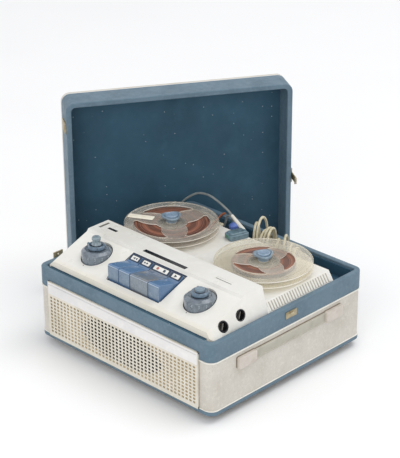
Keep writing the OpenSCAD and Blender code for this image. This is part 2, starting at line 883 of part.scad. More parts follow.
module output_transformer() {
    color("#5f5d58") translate([output_core_spot[0], output_core_spot[1], bottom_t + output_core[2] / 2])
        core_and_coil(output_core);
}

board_x = -8;
board_back = 69.5;
board_y = y_in - board_back;
board_w = 150;
board_d = 78;
laminate_t = 1.6;
pillar_d = 7;
pillar_in = 6;
z_board = bottom_t + 12;
valve_spots = [[-52, -14, 22], [-18, 16, 22], [16, -14, 22], [50, 14, 20]];   // x, y and base diameter
base_h = 8;
bulb_in = 2;
bulb_h = 42;
tip_d = 4;
tip_h = 6;
can_spot = [x_in - 59, y_in - 61.5];
can_d = 34;
can_h = 62;
can_rim = [38, 3];

module amplifier_board() {
    color("#8b5a33") translate([board_x, board_y, 0]) {
        translate([-board_w / 2, -board_d / 2, z_board]) cube([board_w, board_d, laminate_t]);
        for (sx = [-1, 1], sy = [-1, 1])
            translate([sx * (board_w / 2 - pillar_in), sy * (board_d / 2 - pillar_in), bottom_t])
                cylinder(d = pillar_d, h = z_board - bottom_t + laminate_t / 2);
        for (p = valve_spots) translate([p[0], p[1], z_board + eps]) cylinder(d = p[2], h = base_h - eps);
    }
}

module valves() {
    color("#cfd6d8") translate([board_x, board_y, z_board + base_h]) for (p = valve_spots)
        translate([p[0], p[1], 0]) {
            cylinder(d = p[2] - bulb_in, h = bulb_h);
            translate([0, 0, bulb_h]) cylinder(d1 = p[2] - bulb_in, d2 = tip_d, h = tip_h);
        }
}

module smoothing_can() {
    color("#b9bbbd") translate([can_spot[0], can_spot[1], bottom_t]) {
        cylinder(d = can_d, h = can_h);
        cylinder(d = can_rim[0], h = can_rim[1]);
    }
}

pot_floor = 2;
pot_top = -skirt_sink - dial_gap;
stand_w = 16;
stand_t = 20;

// Two-gang pots on blocks that stand on the chassis plate
module control_pots() {
    block_h = dial_z + pot_top - pot_l - z_plate;
    color("#8e8f8c") for (s = [-1, 1]) at_dial(s) difference() {
        union() {
            translate([0, 0, pot_top - pot_l]) cylinder(d = pot_d, h = pot_l);
            translate([-stand_w / 2, -stand_t / 2, pot_top - pot_l - block_h]) cube([stand_w, stand_t, block_h + over]);
        }
        translate([0, 0, pot_top - shaft_in]) cylinder(d = outer_shaft_d + 2 * run_fit, h = pot_l);
        translate([0, 0, pot_top - pot_l + pot_floor]) cylinder(d = inner_shaft_d + 2 * run_fit, h = 2 * pot_l);
    }
}

axle_end = 1;

module key_axle() {
    half = lug_x + lug_t + axle_end;
    color(metal) translate([-half, y_axle, z_axle]) rotate([0, 90, 0]) cylinder(d = axle_d, h = 2 * half);
}

arm_w = 10;
arm_up = 3;
arm_down = 5;
key_edge = 2;

// One key: a block with a dipped top, an arm under the ledge and a hub on the axle
module key(i, tint) {
    w = key_widths[i];
    color(tint) translate([key_left(i), 0, 0]) difference() {
        union() {
            along_x(0, w) polygon([[y_key_front, slope_z(y_key_front) - key_skirt],
                [y_key_front, z_key_top - key_edge], [y_key_front + key_edge, z_key_top],
                [y_key_dip, z_key_dip], [y_key_back, z_key_back],
                [y_key_back, z_axle - arm_up], [y_key_back - arm_w, z_axle - arm_down - arm_up]]);
            along_x((w - arm_w) / 2, (w + arm_w) / 2) polygon([[y_key_back - arm_w, z_axle - arm_down],
                [y_key_back - arm_w, z_axle + arm_up], [y_axle, z_axle + arm_up], [y_axle, z_axle - arm_down]]);
            translate([(w - arm_w) / 2, y_axle, z_axle]) rotate([0, 90, 0]) cylinder(r = hub_r, h = arm_w);
        }
        translate([-over, y_axle, z_axle]) rotate([0, 90, 0])
            cylinder(d = axle_d + 2 * run_fit, h = w + 2 * over);
    }
}

module rewind_key() { key(0, key_blue); }

module forward_key() { key(1, key_blue); }

module stop_key() { key(2, "#8392a0"); }

module play_key() { key(3, key_blue); }

skirt_step = 0.5;
skirt_cone = 5;
tab_size = [6, 5, 5];
tab_in = 2;
cap_taper = 1;

// A dial's numbered skirt, sunk in its well, on its tube shaft
module dial_skirt(side) {
    color(dial_blue) at_dial(side) difference() {
        union() {
            translate([0, 0, -skirt_sink]) cylinder(d = skirt_d, h = skirt_sink + skirt_rim);
            translate([0, 0, skirt_rim])
                cylinder(d1 = skirt_d - 2 * skirt_step, d2 = skirt_d - 2 * skirt_cone, h = skirt_h);
            translate([0, 0, pot_top - shaft_in + dial_gap]) cylinder(d = outer_shaft_d, h = shaft_in + skirt_rim);
        }
        translate([0, 0, -2 * pot_l]) cylinder(d = inner_shaft_d + 2 * run_fit, h = 4 * pot_l);
    }
}

// The pointer ring and its cap on the inner shaft
module dial_pointer(side, cap, turn) {
    z0 = skirt_rim + skirt_h + dial_gap;
    low = pot_top - pot_l + pot_floor + over;
    color(dial_blue) at_dial(side) {
        translate([0, 0, z0]) cylinder(d = pointer_d, h = pointer_h);
        rotate(turn) translate([pointer_d / 2 - tab_in, -tab_size[1] / 2, z0]) cube(tab_size);
        translate([0, 0, z0 + pointer_h]) cylinder(d1 = cap[0] + cap_taper, d2 = cap[0], h = cap[1]);
        translate([0, 0, low]) cylinder(d = inner_shaft_d, h = z0 - low + over);
    }
}

module left_skirt() { dial_skirt(-1); }

module left_pointer() { dial_pointer(-1, left_cap, left_turn); }

module right_skirt() { dial_skirt(1); }

module right_pointer() { dial_pointer(1, right_cap, right_turn); }

spindle_foot = 8;
collar_wall = 2.5;

// A turntable on its spindle, which turns in the chassis plate's bearing
module spindle() {
    z_foot = z_plate_low - spindle_foot;
    z_collar = z_plate + bearing_h + seat_gap;
    color("#d8d8d2") {
        translate([0, 0, z_table]) cylinder(d = table_d, h = table_t);
        translate([0, 0, z_foot]) cylinder(d = spindle_d, h = z_reel + reel_h + spindle_over - z_foot);
        translate([0, 0, z_collar]) cylinder(d = spindle_d + 2 * collar_wall, h = z_table - z_collar);
    }
}

hub_wall = 2.5;
boss_wall = 3;
pack_room = 0.2;

// A reel window's outline, from arcs at its outer and its inner radius
function window(win) = concat(
    [for (i = [-window_steps:window_steps]) let (a = win[3] * i / window_steps) win[1] * [cos(a), sin(a)]],
    [for (i = [window_steps:-1:-window_steps]) let (a = win[2] * i / window_steps) win[0] * [cos(a), sin(a)]]);

// One flange with three windows between its spokes
module flange(win) {
    difference() {
        cylinder(d = reel_d, h = flange_t);
        translate([0, 0, -over]) cylinder(d = spindle_d + 2 * run_fit, h = flange_t + 2 * over);
        for (a = [0, 120, 240]) rotate(win[4] + a) translate([0, 0, -over])
            linear_extrude(flange_t + 2 * over) polygon(window(win));
    }
}

// An upright ring from the reel's lower to its upper face
module reel_ring(outer_d, inner_d) {
    difference() {
        cylinder(d = outer_d, h = reel_h);
        translate([0, 0, -over]) cylinder(d = inner_d, h = reel_h + 2 * over);
    }
}

module reel(win) {
    translate([0, 0, z_reel]) {
        flange(win);
        translate([0, 0, reel_h - flange_t]) flange(win);
        reel_ring(hub_d, hub_d - 2 * hub_wall);
        reel_ring(spindle_d + 2 * boss_wall, spindle_d + 2 * run_fit);
    }
}

module tape_pack(d) {
    color("#6b4434") translate([0, 0, z_reel + flange_t + pack_room]) difference() {
        cylinder(d = d, h = reel_h - 2 * flange_t - 2 * pack_room);
        translate([0, 0, -over]) cylinder(d = hub_d + pack_room, h = reel_h);
    }
}

lobe_r = 6;

// The blue clamp that holds a reel on its spindle: a neck under a head with three lobes
module clamp() {
    z0 = z_reel + reel_h;
    color("#6d8ca8") difference() {
        union() {
            translate([0, 0, z0]) cylinder(d = clamp_neck_d, h = clamp_neck_h);
            translate([0, 0, z0 + clamp_neck_h]) cylinder(d = clamp_head_d, h = clamp_head_h);
            for (a = [90, 210, 330]) rotate(a) translate([clamp_lobe_d / 2 - lobe_r, 0, z0 + clamp_neck_h])
                cylinder(r = lobe_r, h = clamp_head_h);
        }
        translate([0, 0, z0 - over]) cylinder(d = spindle_d + 2 * run_fit, h = spindle_over + over);
    }
}

module supply_spindle() { at_reel(-1) spindle(); }

module supply_reel() { color("#d9d8d2", 0.5) at_reel(-1) reel(supply_windows); }

module supply_tape() { at_reel(-1) tape_pack(supply_tape_d); }

module supply_clamp() { at_reel(-1) clamp(); }

module takeup_spindle() { at_reel(1) spindle(); }

module takeup_reel() { color("#e2dccb", 0.6) at_reel(1) reel(takeup_windows); }

module takeup_tape() { at_reel(1) tape_pack(takeup_tape_d); }

module takeup_clamp() { at_reel(1) clamp(); }

cap_rim = 2;
cap_end = 3;
strap_crown = 0.6;
tongue_in = 8;
tongue_room = 1.5;

module handle_caps() {
    slot_h = handle_h - 2 * cap_rim;
    color(beige) for (s = [-1, 1]) translate([x_wall, s * (handle_l - cap_l) / 2, handle_z]) difference() {
        translate([0, -cap_l / 2, -handle_h / 2]) cube([cap_out, cap_l, handle_h]);
        translate([-over, -cap_l / 2 - s * cap_end, -slot_h / 2])
            cube([cap_out - cap_skin + over, cap_l, slot_h]);
    }
}

module handle_strap() {
    tongue = handle_l - 2 * tongue_in;
    open_l = handle_l - 2 * cap_l - 2 * strap_crown;
    tongue_h = handle_h - 2 * cap_rim - 2 * tongue_room;
    color("#cbc4b8") translate([x_wall + strap_rest, 0, handle_z]) {
        translate([0, -open_l / 2, strap_crown - handle_h / 2])
            cube([strap_t + strap_crown, open_l, handle_h - 2 * strap_crown]);
        translate([0, -tongue / 2, -tongue_h / 2]) cube([strap_t, tongue, tongue_h]);
    }
}

ear_w = 18;
ear_t = 2;
ear_low = 18;
ear_rise = 7;
ear_hole_d = 3.2;
hook_w = 8;
hook_t = 1.5;
hook_h = 2;

module case_fittings() {
    color("#b3aa93") {
        translate([x_out, -catch_w / 2, catch_z - catch_h / 2]) cube([catch_t, catch_w, catch_h]);
        translate([x_out + catch_t - eps, -hook_w / 2, catch_z + 1]) cube([hook_t, hook_w, hook_h]);
        for (s = [-1, 1]) translate([-x_out - ear_t, s * ear_y - ear_w / 2, z_rim - ear_low]) difference() {
            cube([ear_t, ear_w, ear_low + ear_rise]);
            translate([-over, ear_w / 2, ear_low + ear_rise - ear_hole_d - 1]) rotate([0, 90, 0])
                cylinder(d = ear_hole_d, h = ear_t + 2 * over);
        }
    }
}

// An outline of the lid, standing on its long edge, carried through part of its depth
module lid_slice(y0, y1) {
    along_y(y0, y1) translate([0, case_d / 2]) children();
}

module lid_frame() {
    color(blue) on_lid() lid_slice(0, lid_depth - lid_panel_t) difference() {
        rounded(case_w, case_d, corner_r);
        rounded(case_w - 2 * lid_wall_t, case_d - 2 * lid_wall_t, corner_r - lid_wall_t + 1);
    }
}

module lid_panel() {
    color(beige) on_lid() lid_slice(lid_depth - lid_panel_t, lid_depth) rounded(case_w, case_d, corner_r);
}

module lid_lining() {
    y1 = lid_depth - lid_panel_t;
    color(deep_blue) on_lid() lid_slice(y1 - lining_t, y1)
        rounded(case_w - 2 * lid_wall_t, case_d - 2 * lid_wall_t, corner_r - lid_wall_t + 1);
}

leaf_l = 24;
leaf_edge = 4;
tongue_w = 10;
tongue_t = 3;
tongue_out = 1.6;
strike_l = 16;
strike_t = 1.5;
knuckle_gap = 0.2;

module lid_metalwork() {
    outer_h = catch_w / 2 - catch_half - knuckle_gap;
    outer_z = catch_w / 2 - outer_h / 2;
    color("#b3aa93") on_lid() {
        for (s = [-1, 1]) translate([-x_out - ear_t, leaf_edge, case_d / 2 + s * ear_y]) {
            translate([0, 0, -ear_w / 2]) cube([ear_t, leaf_l, ear_w]);
            translate([-tongue_out, -over, -tongue_w / 2]) cube([tongue_out + ear_t, tongue_t, tongue_w]);
        }
        translate([x_out, catch_depth + knuckle_r + seat_gap, catch_mid - catch_w / 2])
            cube([strike_t, strike_l, catch_w]);
        translate([catch_x, catch_depth, catch_mid - catch_w / 2]) cylinder(r = catch_pin_r, h = catch_w);
        for (s = [-1, 1]) translate([0, catch_depth, catch_mid + s * outer_z - outer_h / 2]) {
            translate([catch_x, 0, 0]) cylinder(r = knuckle_r, h = outer_h);
            translate([x_out, 0, 0]) cube([knuckle_r, knuckle_r + over, outer_h]);
        }
    }
}

module lid_catch() {
    color("#c2b9a2") on_lid() translate([catch_x, catch_depth, catch_mid - catch_half]) difference() {
        union() {
            cylinder(r = knuckle_r, h = 2 * catch_half);
            translate([knuckle_r - hasp_t, -catch_reach, 0]) cube([hasp_t, catch_reach, 2 * catch_half]);
            translate([-hasp_t / 2, -catch_reach, 0]) cube([knuckle_r + hasp_t / 2, hasp_t, 2 * catch_half]);
        }
        translate([0, 0, -over]) cylinder(r = catch_pin_r + run_fit, h = 2 * (catch_half + over));
    }
}

// A closed tube of flat sides swept along a list of points
function unit(v) = v / norm(v);
function way(p, i) = unit(p[min(i + 1, len(p) - 1)] - p[max(i - 1, 0)]);
function carry(n, t) = unit(n - (n * t) * t);
function sides_from(p, n0) = [for (i = 0, n = carry(n0, way(p, 0)); i < len(p);
    i = i + 1, n = carry(n, way(p, min(i, len(p) - 1)))) n];

module swept(p, d, sides, n0) {
    count = len(p);
    ns = sides_from(p, n0);
    rings = [for (i = [0:count - 1], k = [0:sides - 1]) let (t = way(p, i), n = ns[i], a = 360 * k / sides)
        p[i] + d / 2 * (cos(a) * n + sin(a) * cross(t, n))];
    walls = [for (i = [0:count - 2], k = [0:sides - 1], half = [0, 1]) let (a = i * sides + k,
        b = i * sides + (k + 1) % sides) half == 0 ? [a, a + sides, b] : [b, a + sides, b + sides]];
    first = [for (k = [1:sides - 2]) [0, k, k + 1]];
    last = [for (k = [1:sides - 2]) [(count - 1) * sides, (count - 1) * sides + k + 1,
        (count - 1) * sides + k]];
    polyhedron(points = rings, faces = concat(walls, first, last));
}

// The stowed mains lead: uneven leaning loops that get lower towards the gland
function loop_height(s) = loop_z_first + (loop_z_last - loop_z_first) * s;
function loop_point(k) = let (turn = 360 * k / loop_steps, s = k / (loop_steps * mains_loops),
    bunch = loop_bunch * sin(360 * loop_waves[0] * s), sway = sin(360 * loop_waves[1] * s + loop_phase),
    heave = sin(360 * loop_waves[2] * s + 2 * loop_phase))
    [loop_x + loop_pitch * mains_loops * (s + bunch) + (loop_lean * loop_y_r + loop_sway * sway) * sin(turn),
    tray_mid_y - (loop_y_r + loop_swell * heave) * sin(turn),
    z_cord_floor + loop_height(s) * (1 + loop_heave * heave) * (1 - cos(turn))];
plug_lead = [[plug_x, plug_y, z_plug], [plug_x + 4, plug_y, z_plug], [plug_x + 12, plug_y + 1, z_plug - 1.5],
    [plug_x + 22, lead_y - 1, z_cord_floor + 1], [loop_x - 33, lead_y, z_cord_floor],
    [loop_x - 22, lead_y, z_cord_floor], [loop_x - 14, lead_y - 0.5, z_cord_floor],
    [loop_x - 8, lead_y - 2.5, z_cord_floor], [loop_x - 3.5, lead_y - 6, z_cord_floor]];
hank_loops = [for (k = [1:loop_steps * mains_loops - 1]) loop_point(k)];
gland_face = y_tray + gland_l;
gland_lead = [[gland_x, gland_face + mains_d, z_cord_floor], [gland_x, gland_face, z_cord_floor]];
hank_route = concat(plug_lead, hank_loops, gland_lead);
hank_gap = min([for (i = [0:2:len(hank_route) - 1], j = [i + 8:1:len(hank_route) - 1])
    norm(hank_route[i] - hank_route[j])]) - mains_d;

module mains_hank() {
    echo(hank_gap = hank_gap);
    color("#d8d0b8") swept(hank_route, mains_d, cord_sides, [0, 0, 1]);
}

module mains_plug() {
    color("#d9d3c2") translate([plug_x, plug_y, z_plug]) {
        translate([-plug_l, -plug_w / 2, -plug_t / 2]) cube([plug_l - plug_neck, plug_w, plug_t]);
        translate([-plug_neck - eps, -plug_neck_w / 2, -plug_neck_w / 2])
            cube([plug_neck + eps, plug_neck_w, plug_neck_w]);
        for (s = [-1, 1]) translate([-plug_l - pin_l, s * pin_pitch / 2, 0]) rotate([0, 90, 0])
            cylinder(d = pin_d, h = pin_l + eps);
    }
}

module mic_lead() {
    color("#7f8589") swept(mic_route, mic_lead_d, tube_sides, [0, 0, 1]);
}

module microphone() {
    start = mic_route[0];
    back = unit(start - mic_route[1]);
    color("#7f95a3") {
        translate([mic_x, mic_y, z_deck]) rotate(mic_turn) {
            linear_extrude(mic_h - mic_crown) rounded(mic_l, mic_w, mic_round);
            translate([0, 0, mic_h - mic_crown - eps]) linear_extrude(mic_crown)
                rounded(mic_l - 2 * mic_inset, mic_w - 2 * mic_inset, mic_round - mic_inset / 2);
        }
        translate(start) rotate([0, acos(back[2]), atan2(back[1], back[0])])
            cylinder(d1 = mic_lead_d + sleeve_grip, d2 = sleeve_d, h = sleeve_l);
    }
}

module mic_plug() {
    end = mic_route[len(mic_route) - 1];
    tall = end[2] - z_tray;
    color("#5573b5") translate([end[0], end[1], z_tray]) {
        cylinder(d = mic_plug_d - 2, h = tall);
        translate([0, 0, mic_plug_step]) cylinder(d = mic_plug_d, h = tall - mic_plug_step - mic_plug_neck);
    }
}

case_walls();
rim_band();
base_band();
bottom_board();
rubber_feet();
bottom_screws();
front_grille();
speaker_board();
speaker_frame();
speaker_cone();
reel_deck();
control_panel();
chassis_plate();
chassis_posts();
storage_tray();
panel_inserts();
din_sockets();
head_assembly();
motor_body();
motor_pulley();
drive_belt();
flywheel();
pinch_lever();
pinch_roller();
mains_transformer();
output_transformer();
amplifier_board();
valves();
smoothing_can();
control_pots();
key_axle();
rewind_key();
forward_key();
stop_key();
play_key();
left_skirt();
left_pointer();
right_skirt();
right_pointer();
supply_spindle();
supply_reel();
supply_tape();
supply_clamp();
takeup_spindle();
takeup_reel();
takeup_tape();
takeup_clamp();
handle_caps();
handle_strap();
case_fittings();
lid_frame();
lid_panel();
lid_lining();
lid_metalwork();
lid_catch();
mains_hank();
mains_plug();
mic_lead();
microphone();
mic_plug();
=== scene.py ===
import math

import bmesh
import bpy
import numpy as np
from mathutils import Matrix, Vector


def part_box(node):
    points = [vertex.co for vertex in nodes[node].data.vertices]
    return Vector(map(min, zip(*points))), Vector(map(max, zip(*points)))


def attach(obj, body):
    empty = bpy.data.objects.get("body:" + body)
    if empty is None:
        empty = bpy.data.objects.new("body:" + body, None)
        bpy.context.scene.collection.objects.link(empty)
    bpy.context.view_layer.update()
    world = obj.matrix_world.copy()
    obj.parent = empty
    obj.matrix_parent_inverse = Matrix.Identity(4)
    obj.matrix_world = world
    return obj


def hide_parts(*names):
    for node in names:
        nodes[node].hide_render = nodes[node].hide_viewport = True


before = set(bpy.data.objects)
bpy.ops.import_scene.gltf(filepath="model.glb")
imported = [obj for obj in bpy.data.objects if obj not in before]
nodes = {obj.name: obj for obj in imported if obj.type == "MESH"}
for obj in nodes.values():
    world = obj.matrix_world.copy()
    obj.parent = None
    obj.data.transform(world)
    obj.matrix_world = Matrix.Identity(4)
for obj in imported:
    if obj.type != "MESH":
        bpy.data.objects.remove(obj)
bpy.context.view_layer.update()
mm = 0.001
print("stage: frame loaded")


# Camera at the photograph's viewing angle, found by fitting the case's edges
cameraSet = {
    "turn": 44.43,
    "pitch": 25.40,
    "roll": -0.33,
    "place": (1571.865, -1603.100, 1242.761),
    "focalPx": 1691.91,
    "longPx": 458,
    "sensor": 36.0,
    "clip": (0.1, 50),
}


# Turn and pitch give the line of sight, and the roll turns the picture's side and top about it
def makeCamera(s):
    turn, pitch, roll = (math.radians(s[k]) for k in ("turn", "pitch", "roll"))
    level = math.cos(pitch)
    back = np.array([math.sin(turn) * level, -math.cos(turn) * level, math.sin(pitch)])
    right = np.array([math.cos(turn), math.sin(turn), 0.0])
    up = np.cross(back, right)
    side = math.cos(roll) * right + math.sin(roll) * up
    top = math.cos(roll) * up - math.sin(roll) * right
    data = bpy.data.cameras.new("camera")
    data.sensor_width = s["sensor"]
    data.lens = s["focalPx"] / s["longPx"] * s["sensor"]
    data.clip_start, data.clip_end = s["clip"]
    camera = bpy.data.objects.new("camera", data)
    columns = np.stack([side, top, back, np.array(s["place"]) * mm], 1)
    camera.matrix_world = Matrix(np.vstack([columns, [0, 0, 0, 1]]).tolist())
    bpy.context.scene.collection.objects.link(camera)
    bpy.context.scene.camera = camera


makeCamera(cameraSet)
print("stage: camera")


# An sRGB hex colour as linear light: small values over 12.92, the rest raised by 0.055, scaled back to one
# and taken to the power of 2.4
def linear(hexText):
    c = np.array([int(hexText[i : i + 2], 16) for i in (1, 3, 5)]) / 255
    c = np.where(c <= 0.04045, c / 12.92, ((c + 0.055) / 1.055) ** 2.4)
    return (*c.tolist(), 1.0)


# A pattern's scale: one over the size of its figure, given in millimetres and turned into metres
def perMm(size):
    return 1 / (size * mm)


# Adds a node, sets its properties and inputs or links them, and gives back the output that is asked for
def addNode(tree, kind, inputs=None, out=0, **props):
    node = tree.nodes.new(kind)
    for key, value in props.items():
        setattr(node, key, value)
    for key, value in (inputs or {}).items():
        if isinstance(value, bpy.types.NodeSocket):
            tree.links.new(value, node.inputs[key])
        else:
            node.inputs[key].default_value = value
    return node.outputs[out] if len(node.outputs) else None


# An empty material, its node tree and the Object coordinates that its patterns read
def newMaterial(name):
    material = bpy.data.materials.new(name)
    material.use_nodes = True
    tree = material.node_tree
    tree.nodes.clear()
    return material, tree, addNode(tree, "ShaderNodeTexCoord", out="Object")


# How finely clouds break up, the span that most of a cloud's values lie in, and the usual span of a tint
cloudDetail = 4.0
cloudLow, cloudHigh = 0.3, 0.7
tintSpan = (0.42, 0.7)
# Worn edges: the sharpness where wear starts and is full, and the patches that it comes in
wearSet = {"low": 0.53, "high": 0.62, "patchMm": 7, "patch": (0.4, 0.62), "least": 0.15}


# A cloud: noise of a size in mm, its values between low and high spread evenly from least to most
def cloud(tree, where, size, low, high, least, most):
    pattern = {"Vector": where, "Scale": perMm(size), "Detail": cloudDetail}
    noise = addNode(tree, "ShaderNodeTexNoise", pattern)
    limits = {"Value": noise, "From Min": low, "From Max": high, "To Min": least, "To Max": most}
    return addNode(tree, "ShaderNodeMapRange", limits)


# A finish from one base colour, clouded tints (colour, size in mm, amount and, if it is not the usual span,
# where the cloud starts and ends), a tint that fades in along an axis, worn edges (colour and amount),
# specks, and grains (size and depth in mm, of noise or cells); each tint is mixed over the last by its share
def finish(
        name, base, tints=(), rough=(0.4, 0.5), roughMm=9, grains=(), specks=None, wear=None, fade=None,
        **sockets):
    material, tree, where = newMaterial(name)
    shares = []
    for tint, size, amount, *span in tints:
        shares.append((tint, cloud(tree, where, size, *(span or tintSpan), 0.0, amount)))
    if fade:
        tint, axis, low, high, amount, patchMm = fade
        along = addNode(tree, "ShaderNodeSeparateXYZ", {0: where}, axis)
        patchy = cloud(tree, where, patchMm, cloudLow, cloudHigh, 0.6 * amount, amount)
        limits = {"Value": along, "From Min": low * mm, "From Max": high * mm, "To Max": patchy}
        shares.append((tint, addNode(tree, "ShaderNodeMapRange", limits)))
    if wear:
        tint, amount, high = (*wear, wearSet["high"])[:3]
        edge = addNode(tree, "ShaderNodeNewGeometry", out="Pointiness")
        rubbed = cloud(tree, where, wearSet["patchMm"], *wearSet["patch"], wearSet["least"] * amount, amount)
        limits = {"Value": edge, "From Min": wearSet["low"], "From Max": high, "To Max": rubbed}
        shares.append((tint, addNode(tree, "ShaderNodeMapRange", limits)))
    if specks:
        tint, size, reach, keep, amount = specks
        dots = addNode(tree, "ShaderNodeTexVoronoi", {"Vector": where, "Scale": perMm(size)}, "Distance")
        chosen = addNode(tree, "ShaderNodeSeparateColor", {0: dots.node.outputs["Color"]})
        limits = {"Value": chosen, "From Min": keep, "From Max": keep + 0.02, "To Max": amount}
        strong = addNode(tree, "ShaderNodeMapRange", limits)
        limits = {"Value": dots, "From Min": reach, "From Max": reach * 0.4, "To Max": strong}
        shares.append((tint, addNode(tree, "ShaderNodeMapRange", limits)))
    colour = linear(base)
    for tint, share in shares:
        mixed = {0: share, 6: colour, 7: linear(tint)}
        colour = addNode(tree, "ShaderNodeMix", mixed, 2, data_type="RGBA")
    inputs = {"Base Color": colour, **sockets}
    for size, depth, *cells in grains:
        pattern = {"Vector": where, "Scale": perMm(size)}
        if cells:
            height = addNode(tree, "ShaderNodeTexVoronoi", pattern, "Distance", feature="SMOOTH_F1")
        else:
            height = addNode(tree, "ShaderNodeTexNoise", {**pattern, "Detail": cloudDetail})
        bump = {"Height": height, "Distance": depth * mm, "Strength": 1.0}
        if "Normal" in inputs:
            bump["Normal"] = inputs["Normal"]
        inputs["Normal"] = addNode(tree, "ShaderNodeBump", bump)
    inputs["Roughness"] = cloud(tree, where, roughMm, cloudLow, cloudHigh, *rough)
    surface = addNode(tree, "ShaderNodeBsdfPrincipled", inputs)
    addNode(tree, "ShaderNodeOutputMaterial", {"Surface": surface})
    return material


# Clear polystyrene, moulded: see-through and mirror-like at grazing angles, with a milky haze in smudges;
# the mirror share is the fifth power of how far the surface turns from the eye
clearSet = {
    "waveMm": 18, "waveDepth": 0.05, "gloss": 0.07, "least": 0.04,
    "smudge": (30, 0.35, 0.7, 0.8, 1.3), "age": (26, 0.35, 0.65, 0.0, 0.8)}


def clearPlastic(name, clear, haze, old, low, high):
    s = clearSet
    material, tree, where = newMaterial(name)
    swells = {"Vector": where, "Scale": perMm(s["waveMm"]), "Detail": 1.0}
    waves = addNode(tree, "ShaderNodeTexNoise", swells)
    bump = {"Height": waves, "Distance": s["waveDepth"] * mm, "Strength": 1.0}
    uneven = addNode(tree, "ShaderNodeBump", bump)
    through = addNode(tree, "ShaderNodeBsdfTransparent", {"Color": linear(clear)})
    glossy = {"Color": (1, 1, 1, 1), "Roughness": s["gloss"], "Normal": uneven}
    shine = addNode(tree, "ShaderNodeBsdfGlossy", glossy)
    tilt = addNode(tree, "ShaderNodeLayerWeight", {"Blend": 0.5, "Normal": uneven}, "Facing")
    steep = addNode(tree, "ShaderNodeMath", {0: tilt, 1: 5.0}, operation="POWER")
    mirror = addNode(tree, "ShaderNodeMapRange", {"Value": steep, "To Min": s["least"]})
    glassy = addNode(tree, "ShaderNodeMixShader", {0: mirror, 1: through, 2: shine})
    smudge = cloud(tree, where, *s["smudge"])
    facing = addNode(tree, "ShaderNodeLayerWeight", {"Blend": 0.4}, "Facing")
    limits = {"Value": facing, "From Min": 0.1, "To Min": low, "To Max": high}
    milk = addNode(tree, "ShaderNodeMapRange", limits)
    share = addNode(tree, "ShaderNodeMath", {0: milk, 1: smudge}, operation="MULTIPLY")
    aged = cloud(tree, where, *s["age"])
    mixed = {0: aged, 6: linear(haze), 7: linear(old)}
    colour = addNode(tree, "ShaderNodeMix", mixed, 2, data_type="RGBA")
    milky = addNode(tree, "ShaderNodeBsdfPrincipled", {"Base Color": colour, "Roughness": 0.35})
    surface = addNode(tree, "ShaderNodeMixShader", {0: share, 1: glassy, 2: milky})
    addNode(tree, "ShaderNodeOutputMaterial", {"Surface": surface})
    return material


# Iron oxide tape, wound: semi-gloss brown edges whose turns show as rings, noise over the distance from the
# reel's middle, drawn about 1.4 and 8 mm apart because single turns are far too fine to see
tapeSet = {"ringMm": 1.4, "bandMm": 7.7, "depth": 0.25}
tapeTints = {"brown": "#43261d", "pale": "#bb7d62", "dark": "#2a1a16"}


def woundTape(name, centre):
    s = tapeSet
    material, tree, where = newMaterial(name)
    middle = (centre[0] * mm, centre[1] * mm, 0)
    offset = addNode(tree, "ShaderNodeVectorMath", {0: where, 1: middle}, operation="SUBTRACT")
    level = addNode(tree, "ShaderNodeVectorMath", {0: offset, 1: (1, 1, 0)}, operation="MULTIPLY")
    radius = addNode(tree, "ShaderNodeVectorMath", {0: level}, "Value", operation="LENGTH")
    fine = {"W": radius, "Scale": perMm(s["ringMm"]), "Detail": 5.0, "Roughness": 0.7}
    rings = addNode(tree, "ShaderNodeTexNoise", fine, noise_dimensions="1D")
    broad = {"W": radius, "Scale": perMm(s["bandMm"]), "Detail": 2.0}
    bands = addNode(tree, "ShaderNodeTexNoise", broad, noise_dimensions="1D")
    pale = addNode(tree, "ShaderNodeMapRange", {"Value": rings, "From Min": 0.41, "From Max": 0.6})
    limits = {"Value": bands, "From Min": 0.42, "From Max": 0.66, "To Max": 0.85}
    dark = addNode(tree, "ShaderNodeMapRange", limits)
    mixed = {0: pale, 6: linear(tapeTints["brown"]), 7: linear(tapeTints["pale"])}
    colour = addNode(tree, "ShaderNodeMix", mixed, 2, data_type="RGBA")
    mixed = {0: dark, 6: colour, 7: linear(tapeTints["dark"])}
    colour = addNode(tree, "ShaderNodeMix", mixed, 2, data_type="RGBA")
    ridged = addNode(tree, "ShaderNodeBump", {"Height": rings, "Distance": s["depth"] * mm, "Strength": 1.0})
    inputs = {"Base Color": colour, "Roughness": 0.34, "Specular IOR Level": 0.6, "Normal": ridged}
    surface = addNode(tree, "ShaderNodeBsdfPrincipled", inputs)
    addNode(tree, "ShaderNodeOutputMaterial", {"Surface": surface})
    return material


# Soda-lime glass, blown: clear, silvered in clouds by its getter
def blownGlass(name, tint="#e6eced", silver=(20, 0.4, 0.7, 0.05, 0.3)):
    material, tree, where = newMaterial(name)
    silvered = cloud(tree, where, *silver)
    inputs = {"Base Color": linear(tint), "Roughness": silvered, "Transmission Weight": 0.8, "IOR": 1.5}
    surface = addNode(tree, "ShaderNodeBsdfPrincipled", inputs)
    addNode(tree, "ShaderNodeOutputMaterial", {"Surface": surface})
    return material


# Sockets that several finishes share: how strongly and how sharply a clear skin shines
hardGloss = {"Coat Weight": 0.4, "Coat Roughness": 0.08}
softGloss = {"Coat Weight": 0.3, "Coat Roughness": 0.11}
dialGloss = {"Coat Weight": 0.5, "Coat Roughness": 0.06}

# PVC leathercloth, embossed: pebbled and half dull, soiled in clouds, paler where edges are rubbed;
# the pebble is drawn about twice as coarse as life so that it shows
paleCloth = finish(
    "leathercloth_beige", "#cfcac1",
    [("#b9b1a3", 46, 0.55, 0.42, 0.72), ("#e2ddd3", 5, 0.5, 0.5, 0.75), ("#a89f92", 1.3, 0.5, 0.56, 0.7)],
    (0.5, 0.68), 12, [(1.1, 0.14, "cells"), (0.45, 0.06)], wear=("#ece8df", 0.5),
    **{"Specular IOR Level": 0.35})
